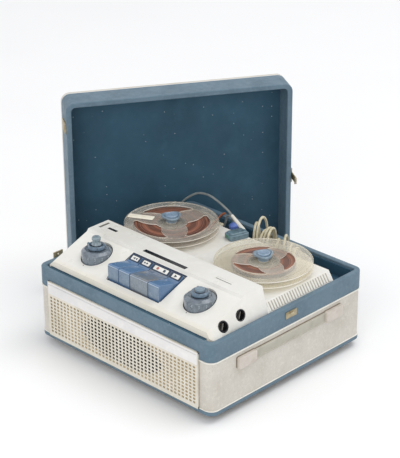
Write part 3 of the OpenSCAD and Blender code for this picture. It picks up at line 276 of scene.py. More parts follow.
# PVC leathercloth, embossed: the same pebble in blue, chalky along its rubbed edges and corners
blueCloth = finish(
    "leathercloth_blue", "#617887",
    [("#506674", 40, 0.6, 0.4, 0.7), ("#768c9a", 6, 0.45, 0.5, 0.78), ("#4a5d66", 1.2, 0.4, 0.58, 0.72)],
    (0.42, 0.6), 10, [(1.0, 0.14, "cells"), (0.4, 0.05)], wear=("#93a8b6", 0.65),
    **{"Specular IOR Level": 0.4})
# Lining paper, printed: matt teal, faded in clouds, with pale dust specks
liningPaper = finish(
    "lining_paper_teal", "#325468", [("#284657", 90, 0.7, 0.38, 0.66), ("#3d6377", 30, 0.4, 0.52, 0.75)],
    (0.55, 0.75), 14, [(0.7, 0.08), (1.4, 0.05, "cells")], specks=("#c9d3d6", 8.5, 0.1, 0.72, 0.85),
    **{"Specular IOR Level": 0.3})
# Polystyrene, moulded: warm white with a soft shine, fly-specked and yellowed towards the front lip
whitePlastic = finish(
    "polystyrene_white", "#e6e4dd",
    [("#d9d5c8", 60, 0.5), ("#efeee9", 14, 0.5, 0.5, 0.75), ("#bdb6a4", 2.2, 0.25, 0.66, 0.76)],
    (0.26, 0.42), 16, [(0.9, 0.02)], fade=("#dcd3bd", 1, -141, -150, 0.6, 22),
    **{"Coat Weight": 0.15, "Coat Roughness": 0.2})
# Polystyrene strip, painted: cooler and cleaner white
stripWhite = finish(
    "polystyrene_painted", "#e6e4e2", [("#d8d6d6", 50, 0.6), ("#f0efec", 9, 0.5, 0.52, 0.75)], (0.28, 0.42),
    12, [(0.8, 0.02)])
# Strawboard, pressed: matt tan, seen through the holes
tanBoard = finish(
    "strawboard_tan", "#b3a07e", [("#978768", 24, 0.6), ("#c9b895", 5, 0.5, 0.52, 0.75)], (0.6, 0.8), 8,
    [(0.6, 0.05)])
# Polystyrene, moulded: cream and half glossy, greyer in patches
creamPlastic = finish(
    "polystyrene_cream", "#ddd7c9", [("#cbc3b0", 38, 0.6), ("#ebe7dc", 9, 0.5, 0.52, 0.75)], (0.34, 0.5), 12,
    [(0.8, 0.03)], **{"Specular IOR Level": 0.45})
# ABS, moulded and polished: blue, glossy and fingermarked
keyBlue = finish(
    "abs_key_blue", "#5d7da1", [("#4d6c92", 20, 0.5), ("#7d7f80", 14, 0.4, 0.6, 0.78)], (0.14, 0.32), 10,
    [(1.1, 0.015)], wear=("#9fb3cc", 0.5), **hardGloss)
# ABS for the wide key, moulded and polished: greyer, browned by fingers
keyGrey = finish(
    "abs_key_grey", "#6f7f93", [("#7d7768", 16, 0.75, 0.42, 0.66), ("#5b6b80", 9, 0.5, 0.5, 0.75)],
    (0.14, 0.32), 10, [(1.1, 0.015)], wear=("#b4bcc6", 0.5), **hardGloss)
# ABS fronts, moulded: a paler lavender than the tops
keyFront = finish(
    "abs_front_blue", "#788b9f", [("#64788d", 12, 0.6), ("#90a0b1", 4, 0.4, 0.5, 0.75)], (0.2, 0.36), 7,
    [(0.9, 0.02)], **softGloss)
keyFrontGrey = finish(
    "abs_front_grey", "#828c96", [("#737a80", 12, 0.6), ("#979fa7", 4, 0.4, 0.5, 0.75)], (0.2, 0.36), 7,
    [(0.9, 0.02)], **softGloss)
# ABS rims: bright where light catches the rounded front edge
keyEdge = finish("abs_rim_pale", "#b3c0cd", [("#94a4b4", 8, 0.6)], (0.2, 0.36), 6, [(0.8, 0.02)])
# ABS label beds: deep shaded blue round each label
keyBed = finish("abs_bed_blue", "#26384f", [("#1c2b40", 10, 0.6)], (0.2, 0.36), 6, [(0.8, 0.02)])
# Painted shade: dead matt navy, fibrous, laid where the gaps round the keys lie in shadow
slotShadeNavy = finish("painted_slot_shade", "#27344a", [("#1a2434", 3, 0.6)], (0.8, 0.95), 4, [(0.5, 0.1)])
# Acrylic skirts, moulded: greyer than the rings, clouded and half worn
dialSkirt = finish(
    "acrylic_grey", "#6c7680", [("#4a535d", 7, 0.7, 0.45, 0.68), ("#8d979f", 4, 0.5, 0.55, 0.75)],
    (0.14, 0.3), 6, [(0.8, 0.02)], wear=("#b5c0c8", 0.6), **dialGloss)
# Acrylic, moulded: smoky blue, mottled, with sharp highlights
dialPlastic = finish(
    "acrylic_smoky", "#5d7386", [("#3a4b5a", 7, 0.75, 0.45, 0.68), ("#8fa3b2", 4, 0.55, 0.55, 0.75)],
    (0.1, 0.26), 6, [(0.8, 0.02)], wear=("#b5c4cf", 0.6), **dialGloss)
# Acrylic caps, moulded: greyer and scuffed
dialCap = finish(
    "acrylic_cap", "#87969d", [("#66757e", 5, 0.7, 0.45, 0.68), ("#b4c0c4", 3, 0.5, 0.55, 0.75)],
    (0.16, 0.32), 6, [(0.8, 0.02)], wear=("#c3ced3", 0.6), **hardGloss)
# Acrylic wells: nearly black, wet-looking
dialDark = finish(
    "acrylic_dark", "#333d47", [("#1f262d", 6, 0.7, 0.42, 0.66), ("#77858f", 3, 0.4, 0.6, 0.78)],
    (0.12, 0.28), 6, [(0.8, 0.02)], wear=("#aab4bc", 0.6), **dialGloss)
# Polystyrene clamps, moulded: powder blue with pale rubbed rims
clampBlue = finish(
    "polystyrene_blue", "#788b99", [("#5c6f7d", 8, 0.55), ("#a0b0bb", 4, 0.45, 0.52, 0.75)], (0.22, 0.38), 7,
    [(0.9, 0.02)], wear=("#c3d3e0", 0.6), **softGloss)
# The clamps' tops: the clamps' blue painted paler and clearer, a painted sheen of light on the top faces
clampLitTop = finish(
    "polystyrene_blue_painted_lit", "#889caf", [("#7288a0", 6, 0.5), ("#a9bccd", 3, 0.4, 0.52, 0.75)], (0.2, 0.34), 6,
    [(0.9, 0.02)], **softGloss)
# Painted shade: a grey ground between the ribs, where the grooves lie in shadow
ribShadeGrey = finish("painted_groove_shade", "#b2ada0", [("#948e80", 9, 0.6)], (0.4, 0.6), 5, [(0.7, 0.03)])
# Phenolic, moulded: black with grey rubbed edges
blackPlastic = finish(
    "phenolic_black", "#141518", [("#22242a", 5, 0.6, 0.45, 0.7)], (0.2, 0.4), 4, [(0.7, 0.02)],
    wear=("#4c4f55", 0.5, 0.63))
# Phenolic, moulded: dusty grey
greyPlastic = finish(
    "phenolic_grey", "#6d6a62", [("#4d4b46", 5, 0.6, 0.45, 0.7)], (0.3, 0.5), 4, [(0.7, 0.03)])
# Celluloid labels: smooth off-white
labelWhite = finish(
    "celluloid_white", "#eceae3", [("#d7d2c3", 6, 0.5, 0.45, 0.7)], (0.25, 0.4), 5, [(0.5, 0.01)])
# Printing ink: flat dark blue-grey, pale grey and faded red
labelInk = finish("ink_dark", "#3b4552", [("#5b6673", 2, 0.5, 0.45, 0.7)], (0.3, 0.5), 4)
inkPale = finish("ink_pale", "#a3adb5", [("#7d8891", 2, 0.5, 0.45, 0.7)], (0.3, 0.5), 4)
labelRed = finish("ink_red", "#b0655c", [("#c99087", 2, 0.5, 0.45, 0.7)], (0.3, 0.5), 4)
# PVC piping, extruded: pale and half dull, a thin bright line between the cloths
pipingWhite = finish(
    "pvc_piping", "#ebe8df", [("#d6d1c4", 12, 0.5, 0.45, 0.7)], (0.35, 0.5), 6, [(0.6, 0.03)])
# Gummed paper: matt cream, yellowed in spots
creamLabel = finish(
    "paper_cream", "#f3ecda", [("#ddccab", 9, 0.5, 0.5, 0.75)], (0.55, 0.75), 5, [(0.5, 0.03)])
# Nickel-plated steel, rolled: dull silver, tarnished in clouds
platedSteel = finish(
    "steel_plated", "#a9a9a4", [("#86847c", 8, 0.5, 0.45, 0.7)], (0.25, 0.45), 4, [(0.6, 0.02)],
    Metallic=0.9)
# Brass-plated fittings, pressed: tarnished to a greenish brown, bright on rubbed edges
dullBrass = finish(
    "brass_tarnished", "#a89b7c", [("#7c6f52", 6, 0.7, 0.42, 0.68), ("#c8bd9f", 2, 0.4, 0.55, 0.75)],
    (0.32, 0.55), 4, [(0.6, 0.05)], wear=("#d9d0b8", 0.6), Metallic=0.75)
# Steel, painted grey: dull and slightly orange-peeled
greySteel = finish(
    "steel_painted", "#777a7d", [("#5e6062", 10, 0.5, 0.45, 0.7)], (0.4, 0.6), 5, [(0.8, 0.04)],
    Metallic=0.6)
# Aluminium can, drawn: soft silver
aluminium = finish(
    "aluminium_drawn", "#b9bbbd", [("#9b9d9f", 10, 0.5, 0.45, 0.7)], (0.3, 0.45), 5, [(0.6, 0.02)],
    Metallic=0.9)
# Brass, turned: warm yellow, half bright
brass = finish(
    "brass_turned", "#c2a866", [("#94794a", 6, 0.5, 0.45, 0.7)], (0.25, 0.45), 4, [(0.6, 0.02)],
    Metallic=0.9)
# Hardboard, pressed: matt brown and fibrous
hardboard = finish(
    "hardboard", "#7d6347", [("#5f4933", 12, 0.6), ("#9a7d5c", 3, 0.5, 0.5, 0.75)], (0.7, 0.9), 6,
    [(0.7, 0.12)])
# Softwood, sawn: pale brown, matt and rough
softwood = finish("softwood_sawn", "#b08d5e", [("#8c6b42", 14, 0.6)], (0.6, 0.8), 8, [(1.2, 0.1)])
# Speaker paper, felted: dark and dead matt
speakerPaper = finish(
    "paper_felted", "#2b2622", [("#3a332d", 6, 0.6, 0.45, 0.7)], (0.8, 0.95), 5, [(0.6, 0.1)])
# Rubber, moulded: black with a grey bloom
rubber = finish("rubber_black", "#232324", [("#3a3a3a", 6, 0.5, 0.45, 0.7)], (0.7, 0.9), 5, [(0.6, 0.06)])
# Paper laminate, pressed: brown with a resin sheen
laminate = finish(
    "laminate_brown", "#8b5a33", [("#6a4226", 9, 0.5, 0.45, 0.7)], (0.4, 0.6), 6, [(0.8, 0.03)])
valveGlass = blownGlass("glass_blown")
# Turntables, moulded in polystyrene: pale grey
tablePlastic = finish(
    "polystyrene_pale", "#d2d0c8", [("#bdb8a9", 12, 0.5, 0.45, 0.7)], (0.3, 0.45), 6, [(0.8, 0.02)])
# PVC handle ends, moulded: pinkish beige, paler on edges
handlePlastic = finish(
    "pvc_beige", "#cbc2b8", [("#b6ac9f", 14, 0.6), ("#dbd5cc", 4, 0.4, 0.52, 0.75)], (0.35, 0.55), 7,
    [(0.7, 0.04)], wear=("#efece4", 0.5))
# PVC strap, grained: greyer, with a fine grain
strapPlastic = finish(
    "pvc_strap", "#b4b0a3", [("#9f9a8b", 16, 0.6)], (0.4, 0.6), 7, [(0.9, 0.06, "cells")],
    wear=("#ded8ca", 0.5))
# Painted shadow: brown-grey lines in the gaps round the handle's caps and along the strap's top edge
gapShadowBrown = finish("painted_gap_shadow", "#8a7f6c", [("#6b6152", 9, 0.6)], (0.5, 0.7), 5, [(0.7, 0.04)])
# PVC mains lead, extruded: cream, grubby in patches
creamCord = finish(
    "pvc_lead_cream", "#cfc6aa", [("#a89d7e", 9, 0.65, 0.42, 0.68), ("#e2dcc8", 5, 0.5, 0.55, 0.75)],
    (0.35, 0.55), 6, [(0.7, 0.04)])
# Urea plug, moulded: cream with a soft shine, dirty in patches
creamPlug = finish("urea_cream", "#d5cdb6", [("#b3a88c", 7, 0.6)], (0.3, 0.5), 6, [(0.7, 0.03)])
# PVC microphone lead, extruded: grey with pale scuffs
greyCord = finish(
    "pvc_lead_grey", "#868a88", [("#63686a", 8, 0.6), ("#b9b9b1", 4, 0.5, 0.58, 0.78)], (0.3, 0.5), 6,
    [(0.7, 0.03)])
# ABS microphone, moulded: grey-blue, grimed
micPlastic = finish(
    "abs_mic", "#6a838e", [("#485d66", 6, 0.75, 0.42, 0.68), ("#93a6ae", 3, 0.4, 0.55, 0.75)], (0.22, 0.4),
    5, [(0.7, 0.03)])
# ABS tab, moulded: sea green, half dull
micGreen = finish("abs_green", "#4e7d6d", [("#355c50", 3, 0.6, 0.42, 0.68)], (0.3, 0.5), 4, [(0.7, 0.03)])
# Nylon plug, moulded: strong blue
plugBlue = finish(
    "nylon_blue", "#5f79c4", [("#445ca0", 6, 0.6), ("#8aa0d6", 3, 0.4, 0.55, 0.75)], (0.2, 0.36), 5,
    [(0.7, 0.02)])
# PVC sleeve, moulded: white with grey scuffs
sleeveWhite = finish("pvc_sleeve", "#e3e0d6", [("#c7c1b1", 6, 0.5)], (0.3, 0.5), 5, [(0.7, 0.03)])
# Acetate tape: glossy orange-brown where it hangs loose
looseTape = finish(
    "acetate_tape", "#b06c45", [("#74422b", 4, 0.7, 0.42, 0.68)], (0.2, 0.36), 4, [(0.8, 0.02)])
smokyReel = clearPlastic("polystyrene_clear", "#f8f6f2", "#f1ebe0", "#e0d8c9", 0.09, 0.28)
creamReel = clearPlastic("polystyrene_clear_cream", "#fcfaf4", "#f8f4ea", "#ede6d6", 0.08, 0.36)
# Cut edges of clear polystyrene, where light gathers
reelEdge = finish(
    "polystyrene_edge", "#f0ece2", [("#d9d2c1", 8, 0.6, 0.45, 0.7)], (0.1, 0.22), 5, [(0.8, 0.02)],
    **{"Coat Weight": 0.6, "Coat Roughness": 0.05})
# Paper backdrop, rolled: plain and matt
floorPaper = finish("floor_paper", "#fbfbfa", [("#f8f8f7", 300, 0.5, 0.4, 0.7)], (0.8, 0.9), 100)
print("stage: materials")


# Every place below is in millimetres; a line that closes on its axis ends 0.1 mm from it
tiny = 1e-9


# A place: its origin, then its first and second axes and the third, which is square to both
def axes(origin, u, v):
    u, v = np.array(u, float), np.array(v, float)
    return np.array(origin, float), np.stack([u, v, np.cross(u, v)])


# Places whose third axis points up, to the front or to the right
def facingUp(x, y, z):
    return axes((x, y, z), (1, 0, 0), (0, 1, 0))


def facingFront(x, y, z):
    return axes((x, y, z), (1, 0, 0), (0, 0, 1))


def facingRight(x, y, z):
    return axes((x, y, z), (0, 1, 0), (0, 0, 1))


# A level place turned about the upright: its first axis is the cosine and the sine of the turn
def turnedPlace(origin, degrees):
    turn = math.radians(degrees)
    return axes(origin, (math.cos(turn), math.sin(turn), 0), (-math.sin(turn), math.cos(turn), 0))


# Points moved to a place: each coordinate times its axis, summed, plus the origin
def put(points, place):
    return points @ place[1] + place[0]


flat = facingUp(0, 0, 0)


# Quads between neighbouring rings: a corner, the next one on its ring, and the same two on the next ring
def gridFaces(rows, cols, wrapRows=False):
    r, c = np.meshgrid(np.arange(rows if wrapRows else rows - 1), np.arange(cols), indexing="ij")
    down, side = (r + 1) % rows, (c + 1) % cols
    quads = np.stack([r * cols + c, r * cols + side, down * cols + side, down * cols + c], -1)
    return quads.reshape(-1, 4).tolist()


# A stack of rings closed by flat ends
def capped(rings):
    rows, cols = rings.shape[:2]
    ends = [list(range(cols))[::-1], list(range((rows - 1) * cols, rows * cols))]
    return rings.reshape(-1, 3), gridFaces(rows, cols) + ends


# Shells put together: each one's corner numbers count on from the shells before it
def joined(*shells):
    starts = np.cumsum([0] + [len(v) for v, f in shells])
    faces = [[int(i) + int(s) for i in face] for (v, f), s in zip(shells, starts) for face in f]
    return np.concatenate([v for v, f in shells]), faces


# Corners of an outline, or of an open line, made into arcs: each arc's middle lies on the corner's bisector,
# as far out as the radius over the sine of half the corner's angle; an arc takes less than half a side
def rounded(corners, radii, steps=6, closed=True, most=0.49):
    p = np.array(corners, float)
    radius = np.broadcast_to(np.array(radii, float), len(p)).copy()
    if not closed:
        radius[[0, -1]] = 0
    a, b = np.roll(p, 1, 0) - p, np.roll(p, -1, 0) - p
    la, lb = np.linalg.norm(a, axis=1), np.linalg.norm(b, axis=1)
    a, b = a / la[:, None], b / lb[:, None]
    half = np.arccos(np.clip((a * b).sum(1), -1, 1)) / 2
    reach = np.minimum(radius / np.tan(half), most * np.minimum(la, lb))
    radius = reach * np.tan(half)
    bisector = (a + b) / np.maximum(np.linalg.norm(a + b, axis=1), tiny)[:, None]
    middle = p + bisector * (radius / np.sin(half))[:, None]
    first, last = p + a * reach[:, None] - middle, p + b * reach[:, None] - middle
    start = np.arctan2(first[:, 1], first[:, 0])
    sweep = (np.arctan2(last[:, 1], last[:, 0]) - start + np.pi) % (2 * np.pi) - np.pi
    angle = start[:, None] + sweep[:, None] * np.linspace(0, 1, steps)
    arcs = middle[:, None] + radius[:, None, None] * np.stack([np.cos(angle), np.sin(angle)], -1)
    return arcs[(radius > tiny)[:, None] | (np.arange(steps) == 0)]


# A rectangle round its middle, half its width and depth each way, with its corners turned into arcs
def box2(width, depth, radius, steps=6, middle=(0, 0)):
    x, y = width / 2, depth / 2
    return rounded([(-x, -y), (x, -y), (x, y), (-x, y)], radius, steps) + np.array(middle)


# Unit vectors square to an outline: the chord between each point's two neighbours, turned a quarter
def outward(outline):
    way = np.roll(outline, -1, 0) - np.roll(outline, 1, 0)
    return np.c_[way[:, 1], -way[:, 0]] / np.linalg.norm(way, axis=1)[:, None]


# An outline carried from low to high, drawn in along quarter circles at both rims
def slab(outline, low, high, edge, place=flat, foot=None, steps=4):
    a = np.linspace(0, np.pi / 2, steps)
    foot = edge if foot is None else foot
    inset = np.r_[foot * (1 - np.sin(a)), edge * (1 - np.sin(a[::-1]))]
    height = np.r_[low + foot * (1 - np.cos(a)), high - edge * (1 - np.cos(a[::-1]))]
    rings = outline[None] - inset[:, None, None] * outward(outline)[None]
    lifted = np.broadcast_to(height[:, None, None], (*rings.shape[:2], 1))
    return capped(put(np.concatenate([rings, lifted], -1), place))


# A rounded rectangle carried through its skin: its low, its high and its edge's rounding
def plate(width, depth, corner, arc, spot, skin, place=flat, steps=4):
    return slab(box2(width, depth, corner, arc, spot), *skin, place, steps=steps)


# A profile of radius and height turned about the place's third axis, its radius waved by the cosine of the
# flutes' count times the turn, where a third column says how much
def lathe(profile, place=flat, steps=64, flutes=(0, 0.0)):
    p = np.array(profile, float)
    turn = np.arange(steps) * 2 * np.pi / steps
    weight = p[:, 2] if p.shape[1] > 2 else np.zeros(len(p))
    radius = p[:, :1] + flutes[1] * weight[:, None] * np.cos(flutes[0] * turn)
    height = np.broadcast_to(p[:, 1:2], radius.shape)
    return capped(put(np.stack([radius * np.cos(turn), radius * np.sin(turn), height], -1), place))


# A profile that is a closed loop, turned into a ring: the two flat ends are left off
def turnedRing(loop, place, steps):
    verts, faces = lathe(loop, place, steps)
    return verts, faces[:-2]


# A round bead carried along a closed flat outline: the cosine leads outwards, the sine up
def bead(outline, height, radius, place=flat, sides=10):
    a = np.arange(sides) * 2 * np.pi / sides
    ring = outline[:, None] + radius * np.cos(a)[None, :, None] * outward(outline)[:, None]
    level = np.broadcast_to(height + radius * np.sin(a)[None, :, None], (*ring.shape[:2], 1))
    rings = put(np.concatenate([ring, level], -1), place)[:, ::-1]
    return rings.reshape(-1, 3), gridFaces(len(outline), sides, wrapRows=True)


# A mesh in metres from a shell, smooth but for edges that turn by more than the sharp angle
def addPiece(name, shell, material, body, stands=(), sharp=40):
    verts, faces = shell
    mesh = bpy.data.meshes.new(name)
    mesh.from_pydata((np.asarray(verts) * mm).tolist(), [], faces)
    mesh.update()
    mesh.polygons.foreach_set("use_smooth", np.ones(len(mesh.polygons), bool))
    mesh.set_sharp_from_angle(angle=math.radians(sharp))
    mesh.materials.append(material)
    piece = bpy.data.objects.new(name, mesh)
    bpy.context.scene.collection.objects.link(piece)
    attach(piece, body)
    if stands:
        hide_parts(*stands)
    return piece


# Rounds the edges of a piece that turn by more than the angle
def soften(piece, width, segments=3, angle=30):
    bevel = piece.modifiers.new("edges", "BEVEL")
    bevel.width = width * mm
    bevel.segments = segments
    bevel.limit_method = "ANGLE"
    bevel.angle_limit = math.radians(angle)
    bevel.harden_normals = True
    return piece


# Gives a sheet a wall that grows inwards from its face
def thicken(piece, thick):
    wall = piece.modifiers.new("wall", "SOLIDIFY")
    wall.thickness = thick * mm
    wall.offset = -1
    return wall


# A copy of a solid with its loose triangles joined up, corners within a hundredth of a millimetre made one,
# and its flat faces made whole, so that its edges can be rounded
def cadCopy(node, name, material, body, edge, segments=3, digits=5, level=0.4):
    source = nodes[node].data
    source.calc_loop_triangles()
    places = np.empty(len(source.vertices) * 3, np.float32)
    source.vertices.foreach_get("co", places)
    corners = np.empty(len(source.loop_triangles) * 3, np.int32)
    source.loop_triangles.foreach_get("vertices", corners)
    verts, back = np.unique(np.round(places.reshape(-1, 3), digits), axis=0, return_inverse=True)
    tris = back.reshape(-1)[corners].reshape(-1, 3)
    tris = tris[(tris[:, 0] != tris[:, 1]) & (tris[:, 1] != tris[:, 2]) & (tris[:, 2] != tris[:, 0])]
    piece = addPiece(name, (verts / mm, tris.tolist()), material, body, [node], sharp=180)
    work = bmesh.new()
    work.from_mesh(piece.data)
    bmesh.ops.dissolve_limit(work, angle_limit=math.radians(level), verts=work.verts, edges=work.edges)
    work.to_mesh(piece.data)
    work.free()
    return soften(piece, edge, segments)


# Gives CAD solids their finish
def dress(material, *names):
    for name in names:
        nodes[name].data.materials.clear()
        nodes[name].data.materials.append(material)


# A smooth curve through the points: on each span a cubic whose slope at a point is half the step between the
# point's two neighbours
def smoothPath(points, perSpan):
    p = np.array(points, float)
    q = np.vstack([2 * p[0] - p[1], p, 2 * p[-1] - p[-2]])
    t = np.linspace(0, 1, perSpan, endpoint=False)[None, :, None]
    a, b, c, d = (q[i : len(p) - 1 + i][:, None, :] for i in range(4))
    body = 0.5 * (2 * b + (c - a) * t + (2 * a - 5 * b + 4 * c - d) * t**2 + (3 * b - a - 3 * c + d) * t**3)
    return np.vstack([body.reshape(-1, 3), p[-1:]])


# A round cord along a path, and its length as the sum of the path's steps
def makeCord(name, path, diameter, material, stands):
    data = bpy.data.curves.new(name, "CURVE")
    data.dimensions = "3D"
    data.bevel_depth = diameter / 2 * mm
    data.bevel_resolution = 4
    data.use_fill_caps = True
    spline = data.splines.new("POLY")
    spline.points.add(len(path) - 1)
    spline.points.foreach_set("co", np.c_[path * mm, np.ones(len(path))].ravel())
    data.materials.append(material)
    cord = bpy.data.objects.new(name, data)
    bpy.context.scene.collection.objects.link(cord)
    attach(cord, "case")
    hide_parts(stands)
    return cord, float(np.linalg.norm(np.diff(path, axis=0), axis=1).sum() * mm)


# Leads: their routes repeat the CAD's
mainsSet = {
    "diameter": 4.0,
    "loops": 9,
    "perLoop": 24,
    "perSpan": 3,
    "start": (-14.0, 129.25, 95.3),
    "run": 90.9,
    "lean": 8.8,
    "halfDepth": 16.0,
    "halfHeight": (26.0, 15.0),
    "uneven": {"bunch": 0.05, "sway": 4.7, "heave": 0.2, "swell": 1.5},
    "waves": (1.5, 1.28, 3.4),
    "phase": 122,
    "plugLead": [
        (-80, 135.25, 100), (-76, 135.25, 100), (-68, 136.25, 98.5), (-58, 137.75, 96.3),
        (-47, 138.75, 95.3), (-36, 138.75, 95.3), (-28, 138.25, 95.3), (-22, 136.25, 95.3),
        (-17.5, 132.75, 95.3)],
    "glandLead": [(76.9, 117.5, 95.3), (76.9, 113.5, 95.3)],
}
micLeadSet = {
    "diameter": 3.6,
    "perSpan": 6,
    "route": [
        (-46, 118, 144), (-58, 122, 147), (-72, 125, 150), (-88, 128, 153), (-104, 130, 155),
        (-120, 131, 154), (-134, 131, 150), (-147, 129, 142), (-157, 125, 133), (-163, 121, 122),
        (-164, 119, 110), (-160, 118, 101), (-151, 117, 96), (-139, 115, 95), (-120, 113, 95),
        (-102, 113, 95), (-88, 114, 97), (-77, 118, 102), (-70, 121, 111), (-66, 123, 121),
        (-64, 124, 130), (-63, 124, 134), (-60, 124, 137), (-56, 124, 138), (-52, 124, 137),
        (-49, 124, 134), (-48, 124, 131), (-48, 124, 130)],
}


# Leaning loops that shrink along the run: x and y swing with the sine, z rises with one minus the cosine,
# and three slow sine waves bunch them, sway them and change their height
def mainsPath(s):
    k = np.arange(1, s["loops"] * s["perLoop"])
    turn, share = np.radians(k * 360 / s["perLoop"]), k / (s["loops"] * s["perLoop"])
    u, phase = s["uneven"], math.radians(s["phase"])
    first, second, third = (2 * np.pi * wave * share for wave in s["waves"])
    bunch, sway = u["bunch"] * np.sin(first), u["sway"] * np.sin(second + phase)
    heave = np.sin(third + 2 * phase)
    tall, short = s["halfHeight"]
    half = (tall + (short - tall) * share) * (1 + u["heave"] * heave)
    x = s["start"][0] + s["run"] * (share + bunch) + (s["lean"] + sway) * np.sin(turn)
    y = s["start"][1] - (s["halfDepth"] + u["swell"] * heave) * np.sin(turn)
    z = s["start"][2] + half * (1 - np.cos(turn))
    return smoothPath(np.vstack([s["plugLead"], np.c_[x, y, z], s["glandLead"]]), s["perSpan"])


mainsRoute = mainsPath(mainsSet)[::-1]
mainsLead, mainsLength = makeCord(
    "mainsLead", mainsRoute, mainsSet["diameter"], creamCord, "mains_hank")
micRoute = smoothPath(micLeadSet["route"], micLeadSet["perSpan"])[::-1]
micLead, micLength = makeCord("micLead", micRoute, micLeadSet["diameter"], greyCord, "mic_lead")

mainsPlugSet = {
    "body": (-114, -88, 2.5),
    "middle": (135.25, 100),
    "size": (24, 14),
    "corner": 4,
    "ribs": {"span": (-106, -93, 4), "proud": 0.8, "corner": 4.2, "width": 1.6, "edge": 0.6},
    "neck": [(0.1, -88.5), (5, -88.5), (4.6, -86), (3.4, -82), (2.6, -80.2), (0.1, -80.2)],
    "pinPitch": 19,
    "pin": [(0.1, -133), (1.4, -133), (2, -132.2), (2, -113.5), (0.1, -113.5)],
}


# A rounded block with ribs spaced evenly along it, a tapered neck, and two pins half their pitch each way
def mainsPlug(s):
    y, z = s["middle"]
    (width, thick), ribs = s["size"], s["ribs"]
    along = facingRight(0, y, z)
    shells = [slab(box2(width, thick, s["corner"]), *s["body"], along)]
    ribLine = box2(width + ribs["proud"], thick + ribs["proud"], ribs["corner"])
    for x in np.linspace(*ribs["span"]):
        shells.append(slab(ribLine, x, x + ribs["width"], ribs["edge"], along))
    shells.append(lathe(s["neck"], along, 24))
    plug = addPiece("mainsPlug", joined(*shells), creamPlug, "case", ["mains_plug"])
    pins = [lathe(s["pin"], facingRight(0, y + k * s["pinPitch"] / 2, z), 20) for k in (-1, 1)]
    return plug, addPiece("mainsPlugPins", joined(*pins), platedSteel, "case")


plugPieces = mainsPlug(mainsPlugSet)

micSet = {
    "middle": (-12, 92.5, 127),
    "turn": 73,
    "size": (34, 21.5, 11),
    "corner": 5,
    "body": {"drop": 2.6, "edge": 1.8, "foot": 1.2},
    "crown": {"in": 5, "corner": 3.5, "low": 4, "edge": 2, "foot": 0.2},
    "slots": {"span": (-7, 9, 6), "width": 1.2, "in": 9, "corner": 0.6, "deep": 0.4, "edge": 0.15},
    "tab": {"size": (4.5, 9), "corner": 1.6, "in": 1.2, "off": -1, "low": 3, "drop": 3.4, "edge": 1},
}
sleeveSet = {
    "from": (-46, 118, 144),
    "way": (0.923, -0.308, -0.231),
    "length": 40,
    "rings": 41,
    "radius": 2.5,
    "flare": 0.75,
    "groove": 0.22,
    "every": 4,
}
micPlugSet = {
    "place": (-48, 124, 93),
    "line": [(0.1, 0), (6.5, 0), (6.5, 12), (7.5, 12), (7.5, 32), (6.2, 33.4), (4, 35.5), (3.2, 37),
             (0.1, 37)],
    "corner": 0.8,
    "grip": (14, 31),
    "flutes": (18, 0.25),
}


# A rounded block with a smaller crown on it, slots spaced evenly across the crown, and a tab at one end
def microphone(s):
    place = turnedPlace(s["middle"], s["turn"])
    length, width, height = s["size"]
    low, crown, slots, end = s["body"], s["crown"], s["slots"], s["tab"]
    line = box2(length, width, s["corner"], 8)
    shells = [slab(line, 0, height - low["drop"], low["edge"], place, low["foot"], 5)]
    line = box2(length - crown["in"], width - crown["in"], crown["corner"], 8)
    shells.append(slab(line, height - crown["low"], height, crown["edge"], place, crown["foot"], 5))
    skin = (height - slots["deep"], height, slots["edge"])
    for x in np.linspace(*slots["span"]):
        shells.append(plate(slots["width"], width - slots["in"], slots["corner"], 4, (x, 0), skin, place, 3))
    body = addPiece("microphoneBody", joined(*shells), micPlastic, "case", ["microphone"])
    skin = (end["low"], height - end["drop"], end["edge"])
    tab = plate(*end["size"], end["corner"], 5, (-length / 2 + end["in"], end["off"]), skin, place)
    return [body, addPiece("microphoneTab", tab, micGreen, "case")]


# A cone that widens evenly along its way, less a groove at every fourth ring
def micSleeve(s):
    way = np.array(s["way"]) / np.linalg.norm(s["way"])
    side = np.cross((0, 0, 1), way)
    side /= np.linalg.norm(side)
    z = np.linspace(0, s["length"], s["rings"])
    groove = s["groove"] * (np.arange(s["rings"]) % s["every"] == 0)
    radius = s["radius"] + s["flare"] * z / s["length"] - groove
    profile = np.vstack([[0.1, 0], np.c_[radius, z], [0.1, s["length"]]])
    sleeve = lathe(profile, axes(s["from"], side, np.cross(way, side)), 24)
    return addPiece("microphoneSleeve", sleeve, sleeveWhite, "case")


# A turned line whose grip, between two heights, is fluted
def micPlug(s):
    profile = rounded(s["line"], s["corner"], 4, closed=False)
    low, high = s["grip"]
    grip = ((profile[:, 1] > low) & (profile[:, 1] < high)).astype(float)
    plug = lathe(np.c_[profile, grip], facingUp(*s["place"]), 72, s["flutes"])
    return addPiece("micPlug", plug, plugBlue, "case", ["mic_plug"])


micPieces = [*microphone(micSet), micSleeve(sleeveSet), micPlug(micPlugSet)]
print("stage: leads", round(mainsLength, 3), round(micLength, 3))


# Case: leathercloth walls between two blue bands, with a pale bead along each band
caseSet = {
    "wallHalf": (179, 161.5),
    "proud": 0.3,
    "corner": 13.3,
    "beads": [(84.0, 1.2), (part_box("base_band")[1][2] / mm + 0.5, 0.9)],
}
cadCopy("case_walls", "caseWalls", paleCloth, "case", 0.8)
cadCopy("rim_band", "rimBand", blueCloth, "case", 1.8, 4)
cadCopy("base_band", "baseBand", blueCloth, "case", 1.8, 4)
wallLine = box2(*(2 * (half + caseSet["proud"]) for half in caseSet["wallHalf"]), caseSet["corner"], 14)
beads = joined(*(bead(wallLine, height, radius) for height, radius in caseSet["beads"]))
addPiece("caseBead", beads, pipingWhite, "case")
dress(hardboard, "bottom_board", "speaker_board")
cadCopy("rubber_feet", "rubberFeet", rubber, "case", 1.2)
cadCopy("bottom_screws", "bottomScrews", platedSteel, "case", 0.3)
cadCopy("case_fittings", "caseFittings", dullBrass, "case", 0.5)
print("stage: case")


